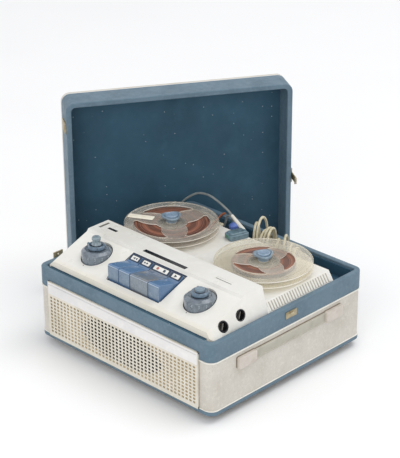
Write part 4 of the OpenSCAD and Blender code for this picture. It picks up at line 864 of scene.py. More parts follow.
# Grille: a sheet of cells inside a plain border, bars behind its edges, a strip with a line along its top,
# and a board with an oval opening close behind the holes
grilleSet = {
    "count": (41, 11),
    "pitch": (7.44, 5.6),
    "hole": (4.7, 3.5),
    "power": 4,
    "half": 156,
    "low": 7,
    "cellsLow": 12.6,
    "strip": (75.5, 97),
    "front": -165.1,
    "back": -162.5,
    "thick": 0.8,
    "edge": 0.2,
    "bars": {"width": 3.2, "short": 0.2, "corner": 0.3, "edge": 0.2},
    "plate": {"size": (309, 18.6), "corner": 0.8, "z": 86.3, "skin": (2.4, 3.0, 0.25)},
    "line": {"size": (307, 0.5), "corner": 0.3, "z": 92.6, "skin": (2.8, 3.0, 0.02)},
    "board": {"y": -163.9, "thick": -0.4, "half": (152, 34.75), "z": 45.25, "steps": 96,
              "oval": (84, 30), "ovalZ": 46.5},
}


# Each cell runs from its square rim in to a hole that is a superellipse: the rim's direction over the fourth
# root of the sum of its fourth powers; the border is the rest of a grid on the same rim points
def grilleSheet(s):
    (nx, nz), (px, pz) = s["count"], s["pitch"]
    side, one = np.linspace(-1, 0.5, 4), np.ones(4)
    rim = np.concatenate([np.c_[side, -one], np.c_[one, side], np.c_[-side, one], np.c_[-one, -side]])
    spread = (np.abs(rim) ** s["power"]).sum(1, keepdims=True) ** (1 / s["power"])
    hole = rim / spread * np.array(s["hole"]) / 2
    i, j = np.meshgrid(np.arange(nx), np.arange(nz), indexing="ij")
    middle = np.stack([(i - (nx - 1) / 2) * px, s["cellsLow"] + (j + 0.5) * pz], -1).reshape(-1, 1, 2)
    loops = np.concatenate([middle + rim * np.array([px, pz]) / 2, middle + hole], 1)
    k, turns = np.arange(len(rim)), len(rim)
    quad = np.stack([k, (k + 1) % turns, turns + (k + 1) % turns, turns + k], -1)
    cellFaces = (quad[None] + 2 * turns * np.arange(nx * nz)[:, None, None]).reshape(-1, 4)
    xs = np.r_[-s["half"], (np.arange(nx * 4 + 1) / 4 - nx / 2) * px, s["half"]]
    zs = np.r_[s["low"], s["cellsLow"] + np.arange(nz * 4 + 1) / 4 * pz, s["strip"]]
    sheet = np.stack(np.meshgrid(xs, zs, indexing="ij"), -1)
    a, b = np.meshgrid(np.arange(len(xs) - 1), np.arange(len(zs) - 1), indexing="ij")
    plain = (a == 0) | (a == len(xs) - 2) | (b == 0) | (b > nz * 4)
    near = a[plain] * len(zs) + b[plain]
    far = near + len(zs)
    borderFaces = np.stack([near, far, far + 1, near + 1], -1)
    points = np.concatenate([loops.reshape(-1, 2), sheet.reshape(-1, 2)])
    points, back = np.unique(np.round(points, 4), axis=0, return_inverse=True)
    faces = back.reshape(-1)[np.concatenate([cellFaces, borderFaces + 2 * turns * len(loops)])]
    used, faces = np.unique(faces, return_inverse=True)
    verts = np.c_[points[used, 0], np.full(len(used), s["front"]), points[used, 1]]
    shell = (verts, faces.reshape(-1, 4).tolist())
    piece = addPiece("frontGrille", shell, creamPlastic, "case", ["front_grille"])
    thicken(piece, s["thick"])
    soften(piece, s["edge"], 2, 50)


# Bars half their width in from each edge of the sheet, then the strip and its line
def grilleTrim(s):
    face = facingFront(0, s["back"], 0)
    bar, low, high = s["bars"], s["low"], s["strip"][-1]
    depth = s["back"] - s["front"] - bar["short"]
    inset = bar["width"] / 2
    spots = [(bar["width"], high - low, k * (s["half"] - inset), (low + high) / 2) for k in (-1, 1)]
    spots += [(2 * s["half"], bar["width"], 0, z) for z in (low + inset, high - inset)]
    skin = (0, depth, bar["edge"])
    bars = [plate(width, height, bar["corner"], 3, (x, z), skin, face) for width, height, x, z in spots]
    addPiece("grilleFrame", joined(*bars), creamPlastic, "case")
    p = s["plate"]
    strip = plate(*p["size"], p["corner"], 5, (0, p["z"]), p["skin"], face)
    addPiece("grilleStrip", strip, stripWhite, "case")
    p = s["line"]
    line = plate(*p["size"], p["corner"], 3, (0, p["z"]), p["skin"], face, 2)
    addPiece("grilleLine", line, strapPlastic, "case")


# A sheet from an oblong rim, each direction over its larger part, in to an oval, each one times the half axes
def grilleBoard(s):
    a = np.arange(s["steps"]) * 2 * np.pi / s["steps"]
    way = np.c_[np.cos(a), np.sin(a)]
    hole = way * np.array(s["oval"]) + np.array([0, s["ovalZ"]])
    rim = way / np.abs(way).max(1, keepdims=True) * np.array(s["half"]) + np.array([0, s["z"]])
    ring = np.stack([rim, hole])
    board = np.stack([ring[..., 0], np.full(ring.shape[:2], s["y"]), ring[..., 1]], -1).reshape(-1, 3)
    backing = addPiece("grilleBoard", (board, gridFaces(2, s["steps"])), tanBoard, "case")
    thicken(backing, s["thick"])


grilleSheet(grilleSet)
grilleTrim(grilleSet)
grilleBoard(grilleSet["board"])
dress(greySteel, "speaker_frame")
dress(speakerPaper, "speaker_cone")
print("stage: grille")


# Deck mouldings, and the works under them
cadCopy("reel_deck", "reelDeck", whitePlastic, "case", 0.35, 2)
cadCopy("control_panel", "controlPanel", whitePlastic, "case", 1.4, 4)
dress(liningPaper, "storage_tray")
dress(platedSteel, "chassis_plate", "head_assembly", "flywheel", "pinch_lever", "key_axle")
dress(softwood, "chassis_posts")
dress(greySteel, "motor_body", "mains_transformer", "output_transformer", "control_pots")
dress(brass, "motor_pulley")
dress(rubber, "drive_belt", "pinch_roller")
dress(laminate, "amplifier_board")
dress(valveGlass, "valves")
dress(aluminium, "smoothing_can")

# Inserts in the ledge: place, width, depth, how far the top stands over the ledge, and the edge's rounding
insertSet = {
    "top": 153.0,
    "sunk": 1.2,
    "corner": 0.8,
    "plates": {
        "strip": (0, -72, 86.4, 7.4, 0.3, 0.3),
        "window": (-127.5, -56.5, 18.8, 4.8, 0.3, 0.3),
        "slot": (-149.5, -53.5, 4.8, 20.8, -0.5, 0.2),
        "plate": (108.5, -61.5, 31.8, 5.8, -0.35, 0.2),
        "line": (108.5, -63.2, 30, 1.2, -0.15, 0.1),
    },
}


# Rounded plates from under the ledge to their own height
def inserts(s):
    shells = {}
    for key, (x, y, width, depth, rise, edge) in s["plates"].items():
        skin = (s["top"] - s["sunk"], s["top"] + rise, edge)
        shells[key] = plate(width, depth, s["corner"], 5, (x, y), skin)
    black = joined(shells["strip"], shells["window"])
    addPiece("deckStrip", black, blackPlastic, "case", ["panel_inserts"])
    addPiece("deckSlot", shells["slot"], greyPlastic, "case")
    addPiece("deckPlate", shells["plate"], whitePlastic, "case")
    addPiece("deckLine", shells["line"], greyPlastic, "case")


inserts(insertSet)

# Shaded ground between the ribs on both sloping sides of the deck
ribSet = {
    "x": 170, "z": (112, 127), "bevel": 10, "y": (-32, 100), "end": 2.2, "corner": 0.6,
    "skin": (0.02, 0.25, 0.08)}


# A thin plate in the middle of each slope, which leans by the arc tangent of its run over its rise
def ribGrounds(s):
    (front, back), (low, high) = s["y"], s["z"]
    slant = math.atan(s["bevel"] / (high - low))
    length = math.hypot(s["bevel"], high - low) - 2 * s["end"]
    grounds = []
    for k in (-1, 1):
        middle = (k * (s["x"] - s["bevel"] / 2), (front + back) / 2, (low + high) / 2)
        place = axes(middle, (0, k, 0), (-k * math.sin(slant), 0, math.cos(slant)))
        grounds.append(plate(back - front, length, s["corner"], 4, (0, 0), s["skin"], place))
    addPiece("ribGrounds", joined(*grounds), ribShadeGrey, "case")


ribGrounds(ribSet)

# Painted shadow: dark strips in the lining paper's colour on the front rim's top and up behind the deck's
# lip, where the lip's shadow falls
lipShadowSet = {
    "half": 161,
    "corner": 0.8,
    "rim": (-156.8, -153.3, 115.12),
    "turnIn": (0.4, 0.05),
    "foot": (-152.5, 112),
    "lip": (-149.5, 123),
    "rise": (1.8, 3.6),
    "skin": (0.02, 0.3, 0.12),
}


# A strip part of the way up the line from foot to lip, and a flat one on the rim
def lipShadowStrips(s):
    way = np.array(s["lip"]) - np.array(s["foot"])
    way = way / np.linalg.norm(way)
    low, high = s["rise"]
    face = axes((0, *s["foot"]), (1, 0, 0), (0, *way))
    strip = plate(2 * s["half"], high - low, s["corner"], 5, (0, (low + high) / 2), s["skin"], face)
    front, back, top = s["rim"]
    thick, edge = s["turnIn"]
    skin = (top - thick, top, edge)
    turned = plate(2 * s["half"], back - front, s["corner"], 5, (0, (front + back) / 2), skin)
    # These strips are painted shadow in the lining paper's colour
    addPiece("frontLipShadow", joined(strip, turned), liningPaper, "case")


lipShadowStrips(lipShadowSet)
print("stage: deck")


# Control slope: from the lip it rises evenly towards the back
slopeSet = {"lip": (-149.5, 123.0), "rise": 26 / 68.5}
slopeAngle = math.atan(slopeSet["rise"])


# The slope's height: the lip's, plus the rise times the way back from it
def slopeZ(y):
    return slopeSet["lip"][1] + slopeSet["rise"] * (y - slopeSet["lip"][0])


# A place on the slope whose second axis leads up it and whose third is square to it
def onSlope(x, y):
    return axes((x, y, slopeZ(y)), (1, 0, 0), (0, math.cos(slopeAngle), math.sin(slopeAngle)))


# Keys: a block dipped towards its label, an arm under the ledge and a hub on the axle; on the front a plate
# under a pale rim, and on the dip a label in its bed
keySet = {
    "widths": {"rewind": 22.5, "forward": 22.5, "stop": 36.5, "play": 22.5},
    "gap": 0.7,
    "seam": 0.35,
    "edge": 0.9,
    "front": -136.5,
    "dip": (-98.0, 142.93),
    "back": (-86.0, 150.6),
    "top": 151.43,
    "skirt": 9,
    "axle": (-72.0, 117.0),
    "foot": {"in": 10, "drop": 8, "heel": 3},
    "corners": [1, 1, 1, 1.2, 3, 2.6],
    "arm": {"half": 5, "reach": 6, "height": 8, "drop": 1, "corner": 0.6, "edge": 0.4},
    "hub": (3, 6),
    "tag": (0.2, 0.13),
    "plates": {
        "Edge": {"in": 1.2, "height": 0.9, "up": -2.6, "corner": 0.3, "arc": 4, "skin": (-0.3, 0.5, 0.2)},
        "Front": {"in": 1.2, "height": 20, "up": -13.6, "corner": 0.6, "arc": 5, "skin": (-0.3, 0.45, 0.35)},
        "Bed": {"in": 1.6, "height": 11.4, "up": 0.2, "corner": 0.8, "arc": 5, "skin": (-0.3, 0.22, 0.15)},
        "Label": {"in": 8.5, "height": 7.0, "up": 0, "corner": 0.8, "arc": 5, "skin": (-0.2, 0.4, 0.2)},
    },
    "ink": (0.35, 0.52, 0.06),
    "record": (-6.5, 2.4),
}


# A sign that points left or right: three corners, each its size from the middle
def triangle(x, way, size=2.1):
    corners = [(x - way * size, -size), (x + way * size, 0), (x - way * size, size)]
    return rounded(corners[::way], 0.25, 3)


# A round sign: the cosine and the sine of the turn times the radius
def disc(x, radius, steps=24):
    a = np.arange(steps) * 2 * np.pi / steps
    return np.c_[x + radius * np.cos(a), radius * np.sin(a)]


keySigns = {
    "rewind": [triangle(-2.2, -1), triangle(2.4, -1)],
    "forward": [triangle(-2.4, 1), triangle(2.2, 1)],
    "stop": [box2(4.4, 4.4, 0.4, 3, (7, 0))],
    "play": [triangle(0, 1, 2.6)],
}


# The bank's half width: half of all widths and of the gaps between them
def bankHalf(s):
    return (sum(s["widths"].values()) + (len(s["widths"]) - 1) * s["gap"]) / 2


# Each key is its side outline carried across its width, less a seam at each side
def keys(s):
    left = -bankHalf(s)
    (dipY, dipZ), (backY, backZ), (axleY, axleZ) = s["dip"], s["back"], s["axle"]
    foot, arm, across = s["foot"], s["arm"], facingRight(0, 0, 0)
    outline = rounded([
        (s["front"], slopeZ(s["front"]) - s["skirt"]), (backY - foot["in"], axleZ - foot["drop"]),
        (backY, axleZ - foot["heel"]), (backY, backZ), (dipY, dipZ), (s["front"], s["top"])],
        s["corners"], 7)
    armMiddle = ((axleY + backY - arm["reach"]) / 2, axleZ - arm["drop"])
    armLine = box2(axleY - backY + arm["reach"], arm["height"], arm["corner"], 4, armMiddle)
    inner, outer = s["hub"]
    rise = np.array([backY - dipY, backZ - dipZ]) / math.hypot(backY - dipY, backZ - dipZ)
    for name, width in s["widths"].items():
        middle = left + width / 2
        ends = (middle - arm["half"], middle + arm["half"])
        block = slab(outline, left + s["seam"], left + width - s["seam"], s["edge"], across, steps=5)
        lever = slab(armLine, *ends, arm["edge"], across)
        hubLine = [(inner, ends[0]), (outer, ends[0]), (outer, ends[1]), (inner, ends[1])]
        hub = lathe(hubLine, facingRight(0, axleY, axleZ), 32)
        grey, body = name == "stop", name + "_key"
        slot = "key_grey" if grey else "key_blue"
        addPiece(name + "Key", joined(block, lever, hub), keyGrey if grey else keyBlue, body, [body])
        front = facingFront(middle, s["front"], s["top"])
        y, z = (dipY + backY) / 2 + s["tag"][0], (dipZ + backZ) / 2 + s["tag"][1]
        tag = axes((middle, y, z), (1, 0, 0), (0, *rise))
        looks = {
            "Edge": (keyEdge, slot, front),
            "Front": (keyFrontGrey if grey else keyFront, slot, front),
            "Bed": (keyBed, "black_plastic", tag),
            "Label": (labelWhite, "white_plastic", tag),
        }
        for part, (material, partSlot, place) in looks.items():
            p = s["plates"][part]
            spot = (0, p["up"])
            shell = plate(width - p["in"], p["height"], p["corner"], p["arc"], spot, p["skin"], place)
            addPiece(name + "Key" + part, shell, material, body)
        signs = [slab(sign, *s["ink"], tag, steps=2) for sign in keySigns[name]]
        addPiece(name + "KeySign", joined(*signs), labelInk, body)
        if grey:
            sign = slab(disc(*s["record"]), *s["ink"], tag, steps=2)
            addPiece("recordSign", sign, labelRed, body)
        left += width + s["gap"]


keys(keySet)

# Painted shade: a dark strip on the slope round both sides and the back of the keys, where the gaps lie in
# shadow
slotShadeSet = {"clear": 1.2, "side": 1.2, "back": 3.0, "corner": 0.3, "skin": (0.02, 0.25, 0.08)}


# Three bars laid on the slope: one beside each end of the bank and one behind it
def keySlotShade(s, key):
    half = bankHalf(key) + s["clear"]
    backY = key["back"][0] + s["clear"]
    run = (backY - key["front"]) / math.cos(slopeAngle)
    place = onSlope(0, backY)
    bars = []
    for k in (-1, 1):
        spot = (k * (half + s["side"] / 2), -run / 2)
        bars.append(plate(s["side"], run, s["corner"], 3, spot, s["skin"], place))
    behind = (0, s["back"] / 2)
    bars.append(plate(2 * (half + s["side"]), s["back"], s["corner"], 3, behind, s["skin"], place))
    addPiece("keySlotShade", joined(*bars), slotShadeNavy, "case")


keySlotShade(slotShadeSet, keySet)
print("stage: keys")


# Dials: an upright numbered skirt sunk in the slope, a pointer ring with its tab, a dark well, a cap,
# and an index dot on the slope; lines give radius and height
dialSet = {
    "x": 106.5,
    "y": -109.0,
    "skirt": [(0.1, -10.1), (22.9, -10.1), (23, 5.4), (22.5, 6.2), (18.4, 9.3), (16.6, 9.5), (15.2, 8.8),
              (0.1, 8.8)],
    "skirtArcs": [0, 0.4, 0.6, 0.6, 0.8, 0.5, 0.5, 0],
    "ring": [(0.1, 10.1), (12.4, 10.1), (13, 11), (13, 14.6), (11.6, 16), (10.4, 15.9), (9.6, 15),
             (0.1, 15)],
    "ringArcs": [0, 0.5, 0.5, 1.2, 0.8, 0.4, 0.5, 0],
    "ringGrip": {"low": 11.2, "high": 14.4, "out": 12, "flutes": (36, 0.16)},
    "tab": {"line": [(10, -2.4), (16.8, -1.7), (16.8, 1.7), (10, 2.4)], "arcs": [0.4, 1.2, 1.2, 0.4],
            "skin": (10.3, 14.8, 0.8)},
    "well": [(7.7, 15.02), (9.5, 15.02), (9.5, 15.3), (7.7, 15.3)],
    "capArc": 0.7,
    "capGrip": {"low": 17, "drop": 1.2, "flutes": (30, 0.14)},
    "dot": [(0.1, 0), (0.9, 0), (0.9, 0.25), (0.1, 0.25)],
    "dotArcs": [0, 0.1, 0.1, 0],
    "dotPlace": (-1.5, -135),
    "pair": {
        "left": {
            "side": -1, "turn": 190, "finish": dialCap,
            "cap": [(0.1, 15.6), (7.4, 15.6), (7.6, 16.6), (5.6, 19.5), (5.4, 21.5), (6.6, 24.5), (6.6, 27),
                    (5.6, 28.4), (0.1, 28.4)]},
        "right": {
            "side": 1, "turn": 145, "finish": clampBlue,
            "cap": [(0.1, 15.6), (7.4, 15.6), (7, 16.6), (7, 18.6), (6.2, 19.4), (4.6, 19.4), (4.2, 19.0),
                    (0.1, 19.0)]},
    },
}
# Digits as strokes in a box of one by one
digitSet = {
    "height": 4.2,
    "width": 0.62,
    "centre": (0.45, 0.5),
    "half": 0.36,
    "overrun": 0.6,
    "thick": 0.18,
    "radius": 23.0,
    "proud": 0.1,
    "middle": 1.2,
    "front": 270,
    "step": 27,
    "strokes": {
        1: [(0.25, 0.75), (0.5, 1), (0.5, 0)],
        2: [(0.1, 0.8), (0.3, 1), (0.6, 1), (0.75, 0.75), (0.1, 0), (0.8, 0)],
        3: [(0.1, 1), (0.75, 1), (0.35, 0.6), (0.75, 0.35), (0.55, 0), (0.1, 0.05)],
        4: [(0.6, 0), (0.6, 1), (0.05, 0.3), (0.85, 0.3)],
        5: [(0.75, 1), (0.2, 1), (0.15, 0.55), (0.6, 0.6), (0.75, 0.3), (0.5, 0), (0.1, 0.05)],
        6: [(0.65, 1), (0.2, 0.5), (0.2, 0.15), (0.5, 0), (0.75, 0.25), (0.5, 0.5), (0.2, 0.35)],
        7: [(0.1, 1), (0.8, 1), (0.35, 0)],
        8: [(0.5, 0.52), (0.2, 0.75), (0.5, 1), (0.75, 0.75), (0.2, 0.28), (0.5, 0), (0.8, 0.28),
            (0.5, 0.52)],
        9: [(0.7, 0.6), (0.4, 0.5), (0.2, 0.75), (0.45, 1), (0.75, 0.85), (0.7, 0.4), (0.35, 0)],
        0: [(0.5, 1), (0.2, 0.75), (0.2, 0.25), (0.5, 0), (0.8, 0.25), (0.8, 0.75), (0.5, 1)],
    },
}


# A number as flat ribbons: each stroke is a quad as wide as the pen, laid round the skirt's upright wall,
# where the turn is the number's own plus the way across it over the radius
def dialNumbers(s, place):
    quads = []
    centre = (len(s["strokes"]) - 1) / 2
    for number, stroke in s["strokes"].items():
        p = (np.array(stroke) - s["centre"]) * np.array([s["width"], 1.0]) * s["height"]
        a, b = p[:-1], p[1:]
        way = (b - a) / np.linalg.norm(b - a, axis=1)[:, None]
        a, b = a - way * s["half"] * s["overrun"], b + way * s["half"] * s["overrun"]
        off = np.c_[-way[:, 1], way[:, 0]] * s["half"]
        corner = np.stack([a - off, b - off, b + off, a + off], 1)
        turn = np.radians(s["front"] - s["step"] * (number - centre)) + corner[..., 0] / s["radius"]
        radius = s["radius"] + s["proud"]
        height = s["middle"] + corner[..., 1]
        quads.append(np.stack([radius * np.cos(turn), radius * np.sin(turn), height], -1).reshape(-1, 3))
    points = np.concatenate(quads)
    return put(points, place), np.arange(len(points)).reshape(-1, 4).tolist()


# Turned lines on an upright axis; between its grip's heights a ring or a cap is fluted
def dials(s):
    ringGrip, capGrip, tab = s["ringGrip"], s["capGrip"], s["tab"]
    skirt = rounded(s["skirt"], s["skirtArcs"], 5, closed=False)
    ring = rounded(s["ring"], s["ringArcs"], 5, closed=False)
    radius, height = ring.T
    grip = (height > ringGrip["low"]) & (height < ringGrip["high"]) & (radius > ringGrip["out"])
    tabLine = rounded(tab["line"], tab["arcs"], 5)
    dotLine = rounded(s["dot"], s["dotArcs"], 3, closed=False)
    for name, dial in s["pair"].items():
        x = dial["side"] * s["x"]
        place = facingUp(x, s["y"], slopeZ(s["y"]))
        low, high = name + "_skirt", name + "_pointer"
        addPiece(name + "Skirt", lathe(skirt, place, 96), dialSkirt, low, [low])
        numbers = dialNumbers(digitSet, place)
        ink = addPiece(name + "SkirtNumbers", numbers, inkPale, low)
        thicken(ink, digitSet["thick"])
        turned = lathe(np.c_[ring, grip], place, 144, ringGrip["flutes"])
        tongue = slab(tabLine, *tab["skin"], turnedPlace(place[0], dial["turn"]))
        addPiece(name + "Pointer", joined(turned, tongue), dialPlastic, high, [high])
        addPiece(name + "PointerWell", lathe(s["well"], place, 64), dialDark, high)
        arcs = [0] + [s["capArc"]] * (len(dial["cap"]) - 2) + [0]
        cap = rounded(dial["cap"], arcs, 5, closed=False)
        ribbed = (cap[:, 1] > capGrip["low"]) & (cap[:, 1] < cap[:, 1].max() - capGrip["drop"])
        turned = lathe(np.c_[cap, ribbed], place, 120, capGrip["flutes"])
        addPiece(name + "Cap", turned, dial["finish"], high)
        dot = lathe(dotLine, onSlope(x + s["dotPlace"][0], s["dotPlace"][1]), 20)
        addPiece(name + "IndexDot", dot, labelInk, "case")


dials(dialSet)
print("stage: dials")


# Sockets on the panel's twisted right end: a black shell, a sunk face with pin holes, a pale key across it
socketSet = {
    "spots": [(-122.0, 123.5), (-88.0, 128.5)],
    "xDeck": 170,
    "draft": 11.5,
    "zSkirt": 112,
    "line": [(0.1, -12), (8.5, -12), (8.5, 0.4), (8.1, 0.8), (7.2, 0.8), (6.75, 0.3), (6.75, -7), (0.1, -7)],
    "arcs": [0, 0, 0.3, 0.3, 0.3, 0.3, 0, 0],
    "pins": {"turns": [0, 45, 90, 135, 180], "radius": 4.2},
    "pin": [(0.1, -7), (0.8, -7), (0.8, -6.4), (0.1, -6.4)],
    "key": {"turn": 58, "size": (10.5, 1.5), "corner": 0.6, "up": 0.4, "skin": (-7, -1.2, 0.3)},
}


# The end wall leans in by the draft times the height's share of the slope, so its normal is one, less the
# change of that lean along the slope, and the lean itself
def sockets(s):
    shells, holes, bars = [], [], []
    pins, key = s["pins"], s["key"]
    line = rounded(s["line"], s["arcs"], 4, closed=False)
    cos, sin = math.cos(math.radians(key["turn"])), math.sin(math.radians(key["turn"]))
    for y, z in s["spots"]:
        rise, up = slopeZ(y) - s["zSkirt"], z - s["zSkirt"]
        lean = s["draft"] / rise
        normal = np.array([1, s["draft"] * up * -slopeSet["rise"] / rise**2, lean])
        normal /= np.linalg.norm(normal)
        side = np.cross((0, 0, 1), normal)
        side /= np.linalg.norm(side)
        place = axes((s["xDeck"] - lean * up, y, z), side, np.cross(normal, side))
        shells.append(lathe(line, place, 64))
        u, v = place[1][:2]
        for a in np.radians(pins["turns"]):
            spot = put(pins["radius"] * np.array([math.cos(a), math.sin(a), 0]), place)
            holes.append(lathe(s["pin"], axes(spot, u, v), 12))
        across = axes(place[0], u * cos + v * sin, v * cos - u * sin)
        bars.append(plate(*key["size"], key["corner"], 4, (0, key["up"]), key["skin"], across))
    addPiece("dinSockets", joined(*shells), blackPlastic, "case", ["din_sockets"])
    addPiece("dinPins", joined(*holes), brass, "case")
    addPiece("dinKeys", joined(*bars), greyPlastic, "case")


sockets(socketSet)
print("stage: sockets")


# Reels: each flange is one sheet round the axle, from the bore out to the windows' near edges and from their
# far edges out to the rim; between the windows both edges are one circle. A window is its near and far
# radius and half its angle at each, and its turn is that of its middle
reelSet = {
    "supply": {
        "x": -98, "window": (25, 58, 13, 46), "turn": 23, "corner": 4, "tape": 118,
        "finish": smokyReel, "slot": "reel_clear"},
    "takeup": {
        "x": 92, "window": (25, 46, 16, 43), "turn": 37, "corner": 2, "tape": 94,
        "finish": creamReel, "slot": "reel_cream"},
}
reelShape = {
    "y": 38.5,
    "low": 134.5,
    "high": 144.5,
    "thick": 1.5,
    "edge": 0.3,
    "rim": 73,
    "bore": 8,
    "windows": 3,
    "rows": 6,
    "dish": (4, 0.35),
    "hub": (20.5, 23, 1.4),
    "ridges": (62, 69),
    "ridge": [(0, -0.1), (1, -0.1), (0.8, 0.35), (0.2, 0.35), (0, -0.1)],
}
# Wound tape: how far it starts off the hub and lies inside the flanges, and the ripple of its edges
packSet = {
    "off": 0.15, "rings": 90, "under": 1.9, "over": 2.9, "ripple": 0.22, "calm": 0.3, "waves": (2.3, 5.1)}
# Clamps: a waisted neck under a dished head that waves out into three lobes, with a stepped disc in the
# middle; each line gives radius, height and, for the head, how much of the wave it takes
clampSet = {
    "lobes": 3,
    "wave": 1.8,
    "line": [
        (0.1, 0, 0), (8, 0, 0), (8, 0.8, 0), (7.4, 1.6, 0), (7.2, 4.2, 0), (8.2, 5.4, 0.1), (11, 6, 0.5),
        (13.6, 6.4, 0.9), (14.4, 7, 1), (14.7, 8, 1), (14.6, 9.4, 1), (14.1, 10.3, 1), (13.3, 10.7, 1),
        (12.5, 10.5, 0.8), (11.4, 9.6, 0.4), (10.6, 9.3, 0.1), (0.1, 9.3, 0)],
    "top": [(0.1, 9.2), (9.6, 9.2), (9.6, 11.2), (8.2, 11.8), (7.6, 11.8), (7.2, 11.4), (0.1, 11.4)],
    "topArcs": [0, 0.3, 0.5, 0.4, 0.3, 0.3, 0],
}


# A window's rounded outline as near and far radius over the angle, its far corners clear of other points
def windowEdges(window, corner, clear=11):
    near, far, narrow, wide = window
    a = np.radians(np.r_[-wide, np.linspace(clear - wide, wide - clear, 25), wide])
    b = np.radians(np.r_[narrow, np.linspace(0.4, -0.4, 5) * narrow, -narrow])
    line = np.concatenate([far * np.c_[np.cos(a), np.sin(a)], near * np.c_[np.cos(b), np.sin(b)]])
    radii = np.zeros(len(line))
    radii[[0, len(a) - 1, len(a), -1]] = corner
    line = rounded(line, radii, 7)
    angle = np.arctan2(line[:, 1], line[:, 0])
    line, angle = (np.roll(v, -angle.argmin(), 0) for v in (line, angle))
    radius, k = np.linalg.norm(line, axis=1), angle.argmax()
    turn = np.unique(np.round(angle, 5))
    back = np.r_[np.arange(k, len(angle)), 0][::-1]
    return turn, np.interp(turn, angle[back], radius[back]), np.interp(turn, angle[: k + 1], radius[: k + 1])


# Rings from the bore to the near edge and from the far edge to the rim, each an even share of the way;
# towards the rim the sheet sinks with the square of the way into its dished border
def flange(place, reel, s):
    turn, near, far = windowEdges(reel["window"], reel["corner"])
    count, rows, (border, deep) = s["windows"], s["rows"], s["dish"]
    part = 2 * np.pi / count
    spoke = np.linspace(turn[-1], turn[0] + part, 14)[1:-1]
    ends = np.full(len(spoke), near[-1])
    near, far = np.tile(np.r_[near, ends], count), np.tile(np.r_[far, ends], count)
    once = np.r_[turn, spoke] + math.radians(reel["turn"])
    turn = (once + part * np.arange(count)[:, None]).ravel()
    t = np.linspace(0, 1, rows)[:, None]
    radius = np.concatenate([s["bore"] + (near - s["bore"]) * t, far + (s["rim"] - far) * t])
    sink = deep * np.clip((radius - s["rim"] + border) / border, 0, 1) ** 2
    rings = put(np.stack([radius * np.cos(turn), radius * np.sin(turn), -sink], -1), place)
    faces = np.array(gridFaces(rows, len(turn)))
    faces = np.concatenate([faces, faces + rows * len(turn)])[:, ::-1]
    points, back = np.unique(np.round(rings.reshape(-1, 3), 3), axis=0, return_inverse=True)
    return points, back.reshape(-1)[faces].tolist()


# A pack of tape between two flanges: its edges ripple with the product of two sines of the radius
def tapePack(s, shape, outer, place):
    radii = np.linspace(shape["hub"][1] + s["off"], outer, s["rings"])
    ripple = s["ripple"] * np.sin(radii * s["waves"][0]) * np.sin(radii * s["waves"][1] + 1)
    lower = np.c_[radii, shape["low"] + s["under"] + s["calm"] * ripple]
    upper = np.c_[radii, shape["high"] - s["over"] + ripple][::-1]
    return turnedRing(np.vstack([lower, upper, lower[:1]]), place, 128)


# Two flanges, a hub between them, ridges on the upper one, the tape, the clamp and the spindle
def reels(s, shape):
    inner, outer, inset = shape["hub"]
    low, high = shape["low"] + inset, shape["high"] - inset
    hubLine = [(inner, low), (outer, low), (outer, high), (inner, high), (inner, low)]
    ridgeLines = [[(r + out, shape["high"] + up) for out, up in shape["ridge"]] for r in shape["ridges"]]
    topLine = rounded(clampSet["top"], clampSet["topArcs"], 4, closed=False)
    for name, reel in s.items():
        x, y = reel["x"], shape["y"]
        for level, key in ((shape["high"], "Upper"), (shape["low"] + shape["thick"], "Lower")):
            sheet = flange(facingUp(x, y, level), reel, shape)
            piece = addPiece(name + key + "Flange", sheet, reel["finish"], name)
            piece.data.materials.append(reelEdge)
            thicken(piece, shape["thick"]).material_offset_rim = 1
            soften(piece, shape["edge"], 2, 50)
        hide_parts(name + "_reel")
        upright = facingUp(x, y, 0)
        rings = [turnedRing(hubLine, upright, 96), *(turnedRing(line, upright, 128) for line in ridgeLines)]
        addPiece(name + "Hub", joined(*rings), reel["finish"], name)
        pack = tapePack(packSet, shape, reel["tape"] / 2, upright)
        wound = woundTape(name + "_wound_tape", (x, y))
        addPiece(name + "Tape", pack, wound, name, [name + "_tape"], sharp=70)
        lobed = axes((x, y, shape["high"]), (0, 1, 0), (-1, 0, 0))
        clamp = lathe(clampSet["line"], lobed, 120, (clampSet["lobes"], clampSet["wave"]))
        addPiece(name + "Clamp", clamp, clampBlue, name, [name + "_clamp"], sharp=50)
        # The tops' paler blue is painted light
        addPiece(name + "ClampLitTop", lathe(topLine, lobed, 64), clampLitTop, name)
        cadCopy(name + "_spindle", name + "Spindle", tablePlastic, name, 0.6)


reels(reelSet, reelShape)

# Paper label on the left reel
labelSet = {
    "place": (-143.3, 17.4, 144.5), "tilt": 27, "size": (41, 13), "corner": 1.5, "skin": (0.02, 0.45, 0.1)}
labelPlace = turnedPlace(labelSet["place"], labelSet["tilt"])
label = plate(*labelSet["size"], labelSet["corner"], 5, (0, 0), labelSet["skin"], labelPlace, 3)
addPiece("reelLabel", label, creamLabel, "supply")

# Loose tape end: a ribbon that leaves the pack and curls, its width turning along the way
looseSet = {
    "line": [
        (-42.2, 58.8, 139.5), (-46.5, 69, 139.5), (-50.5, 79.5, 139.6), (-54, 89, 140), (-57, 98, 141.2),
        (-58.5, 105, 143.4), (-57, 110, 146), (-53, 111, 147.5), (-51, 108, 146.2)],
    "perSpan": 8,
    "half": 3.1,
    "thick": 0.12,
    "twist": (0.6, -0.5, -0.5),
}


# The width leans sideways with the cube of the way along, and loses height with its square
def looseEnd(s):
    path = smoothPath(s["line"], s["perSpan"])
    share = np.linspace(0, 1, len(path))[:, None]
    x, y, z = s["twist"]
    width = np.c_[x * share**3, y * share**3, 1 + z * share**2]
    width /= np.linalg.norm(width, axis=1)[:, None]
    verts = np.stack([path - s["half"] * width, path + s["half"] * width], 1).reshape(-1, 3)
    k = np.arange(len(path) - 1) * 2
    faces = np.stack([k, k + 1, k + 3, k + 2], -1).tolist()
    thicken(addPiece("looseTape", (verts, faces), looseTape, "case"), s["thick"])


looseEnd(looseSet)
print("stage: reels")
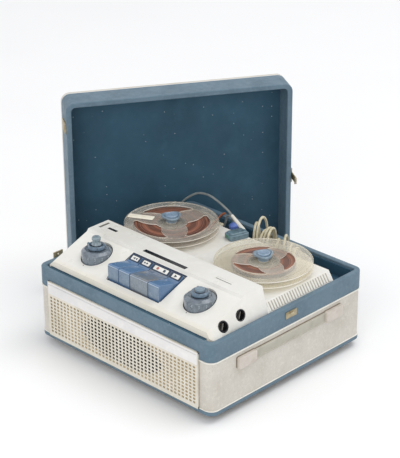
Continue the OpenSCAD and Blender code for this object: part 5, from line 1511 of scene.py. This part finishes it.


# Handle: a strap that runs under two moulded end caps, with lines of painted gap shadow round the caps and
# along the strap
handleSet = {
    "wall": 179,
    "z": 67.5,
    "length": 222,
    "height": 18,
    "cap": {"length": 36, "out": 6.5, "corner": 2.4, "edge": 1.5, "foot": 0.1},
    "capGapShadow": {"long": 1.6, "high": 0.4, "corner": 2.6, "off": (-0.5, 1.0), "skin": (0.05, 1.1, 0.3)},
    "strapGapShadow": {"over": 4, "width": 1.5, "corner": 0.6, "down": 0.5, "skin": (0.05, 1.3, 0.3)},
    "strap": {"under": 20, "in": 1.6, "corner": 2, "skin": (0.4, 2.5, 0.8)},
    "grooves": {"z": (-6.2, 6.2), "in": 6, "width": 1.0, "corner": 0.45, "skin": (2.3, 2.75, 0.2)},
}


# Rounded bars on the wall: the caps' middles lie half of the length less one cap from the handle's middle
def handle(s):
    face = facingRight(s["wall"], 0, s["z"])
    cap, seam, strapShadow, strap, groove = (s[k] for k in ("cap", "capGapShadow", "strapGapShadow", "strap", "grooves"))
    middles = [k * (s["length"] - cap["length"]) / 2 for k in (-1, 1)]
    between = s["length"] - 2 * cap["length"]
    caps, shadowLines = [], []
    for middle in middles:
        line = box2(cap["length"], s["height"], cap["corner"], 8, (middle, 0))
        caps.append(slab(line, 0, cap["out"], cap["edge"], face, cap["foot"], 6))
        # Behind each cap a slightly larger dark ring, painted as the shadow in the gap round it
        spot = (middle + seam["off"][0], seam["off"][1])
        size = (cap["length"] + seam["long"], s["height"] + seam["high"])
        shadowLines.append(plate(*size, seam["corner"], 6, spot, seam["skin"], face))
    # A dark line along the strap's top edge, painted as its shadow
    spot = (0, s["height"] / 2 - strapShadow["down"])
    shadowLines.append(plate(between + strapShadow["over"], strapShadow["width"], strapShadow["corner"], 4, spot, strapShadow["skin"], face))
    addPiece("handleCaps", joined(*caps), handlePlastic, "case", ["handle_caps"])
    addPiece("handleGapShadow", joined(*shadowLines), gapShadowBrown, "case")
    length = between + strap["under"]
    shells = [plate(length, s["height"] - strap["in"], strap["corner"], 6, (0, 0), strap["skin"], face)]
    size = (length - groove["in"], groove["width"])
    shells += [plate(*size, groove["corner"], 4, (0, z), groove["skin"], face) for z in groove["z"]]
    addPiece("handleStrap", joined(*shells), strapPlastic, "handle", ["handle_strap"])


handle(handleSet)
print("stage: handle")


# Lid: blue frame, beige outer panel with a pale bead round it, dark lining
lidSet = {
    "origin": (-160, 123.5, -12), "yaw": 58, "size": (360, 325), "corner": 14, "joint": 43.5, "beadR": 1.3}
cadCopy("lid_frame", "lidFrame", blueCloth, "lid", 1.8, 4)
cadCopy("lid_panel", "lidPanel", paleCloth, "lid", 1.4, 4)
dress(liningPaper, "lid_lining")
cadCopy("lid_metalwork", "lidMetalwork", dullBrass, "lid", 0.4)
cadCopy("lid_catch", "lidCatch", dullBrass, "lid_catch", 0.35)


# A bead sunk by its radius in the joint's outline, on a place turned by the lid's yaw and stood upright
def lidBead(s):
    yaw, inset = math.radians(s["yaw"]), s["beadR"]
    face = axes(s["origin"], (math.cos(yaw), math.sin(yaw), 0), (0, 0, 1))
    width, height = s["size"]
    line = box2(width - 2 * inset, height - 2 * inset, s["corner"] - inset, 14, (0, height / 2))
    addPiece("lidBead", bead(line, -s["joint"], inset, face), pipingWhite, "lid")


lidBead(lidSet)
print("stage: lid")


# Floor and soft studio light, in metres
floorSet = {"half": 4.0, "z": -0.012}
half = floorSet["half"]
corners = [(x * half, y * half, floorSet["z"]) for x, y in ((-1, -1), (1, -1), (1, 1), (-1, 1))]
floorMesh = bpy.data.meshes.new("floor")
floorMesh.from_pydata(corners, [], [(0, 1, 2, 3)])
floorMesh.materials.append(floorPaper)
floor = bpy.data.objects.new("floor", floorMesh)
bpy.context.scene.collection.objects.link(floor)

# Each lamp is turned so that it faces the middle of the floor
lightSet = {
    "top": {"place": (0.9, 1.2, 3.6), "size": 2.4, "power": 46},
    "front": {"place": (1.6, -3.0, 2.0), "size": 2.2, "power": 34},
}
for name, light in lightSet.items():
    lamp = bpy.data.lights.new(name, "AREA")
    lamp.shape = "SQUARE"
    lamp.size = light["size"]
    lamp.energy = light["power"]
    lampObject = bpy.data.objects.new(name, lamp)
    x, y, z = light["place"]
    lampObject.location = light["place"]
    lampObject.rotation_euler = (math.atan2(math.hypot(x, y), z), 0, math.atan2(y, x) + math.pi / 2)
    bpy.context.scene.collection.objects.link(lampObject)

# Sky: white to the eye and in mirrors and glass, plain soft light for the rest
world = bpy.data.worlds.new("studio")
world.use_nodes = True
bpy.context.scene.world = world
sky = world.node_tree
sky.nodes.clear()
shown = addNode(sky, "ShaderNodeLightPath", out="Is Camera Ray")
rays = shown.node.outputs
for ray in ("Is Glossy Ray", "Is Transmission Ray"):
    shown = addNode(sky, "ShaderNodeMath", {0: shown, 1: rays[ray]}, operation="MAXIMUM")
white = addNode(sky, "ShaderNodeBackground", {"Color": (1, 1, 1, 1), "Strength": 1.0})
soft = addNode(sky, "ShaderNodeBackground", {"Color": linear("#fbfcff"), "Strength": 0.76})
chosen = addNode(sky, "ShaderNodeMixShader", {0: shown, 1: soft, 2: white})
addNode(sky, "ShaderNodeOutputWorld", {"Surface": chosen})
bpy.context.scene.view_settings.view_transform = "Standard"
print("stage: light")
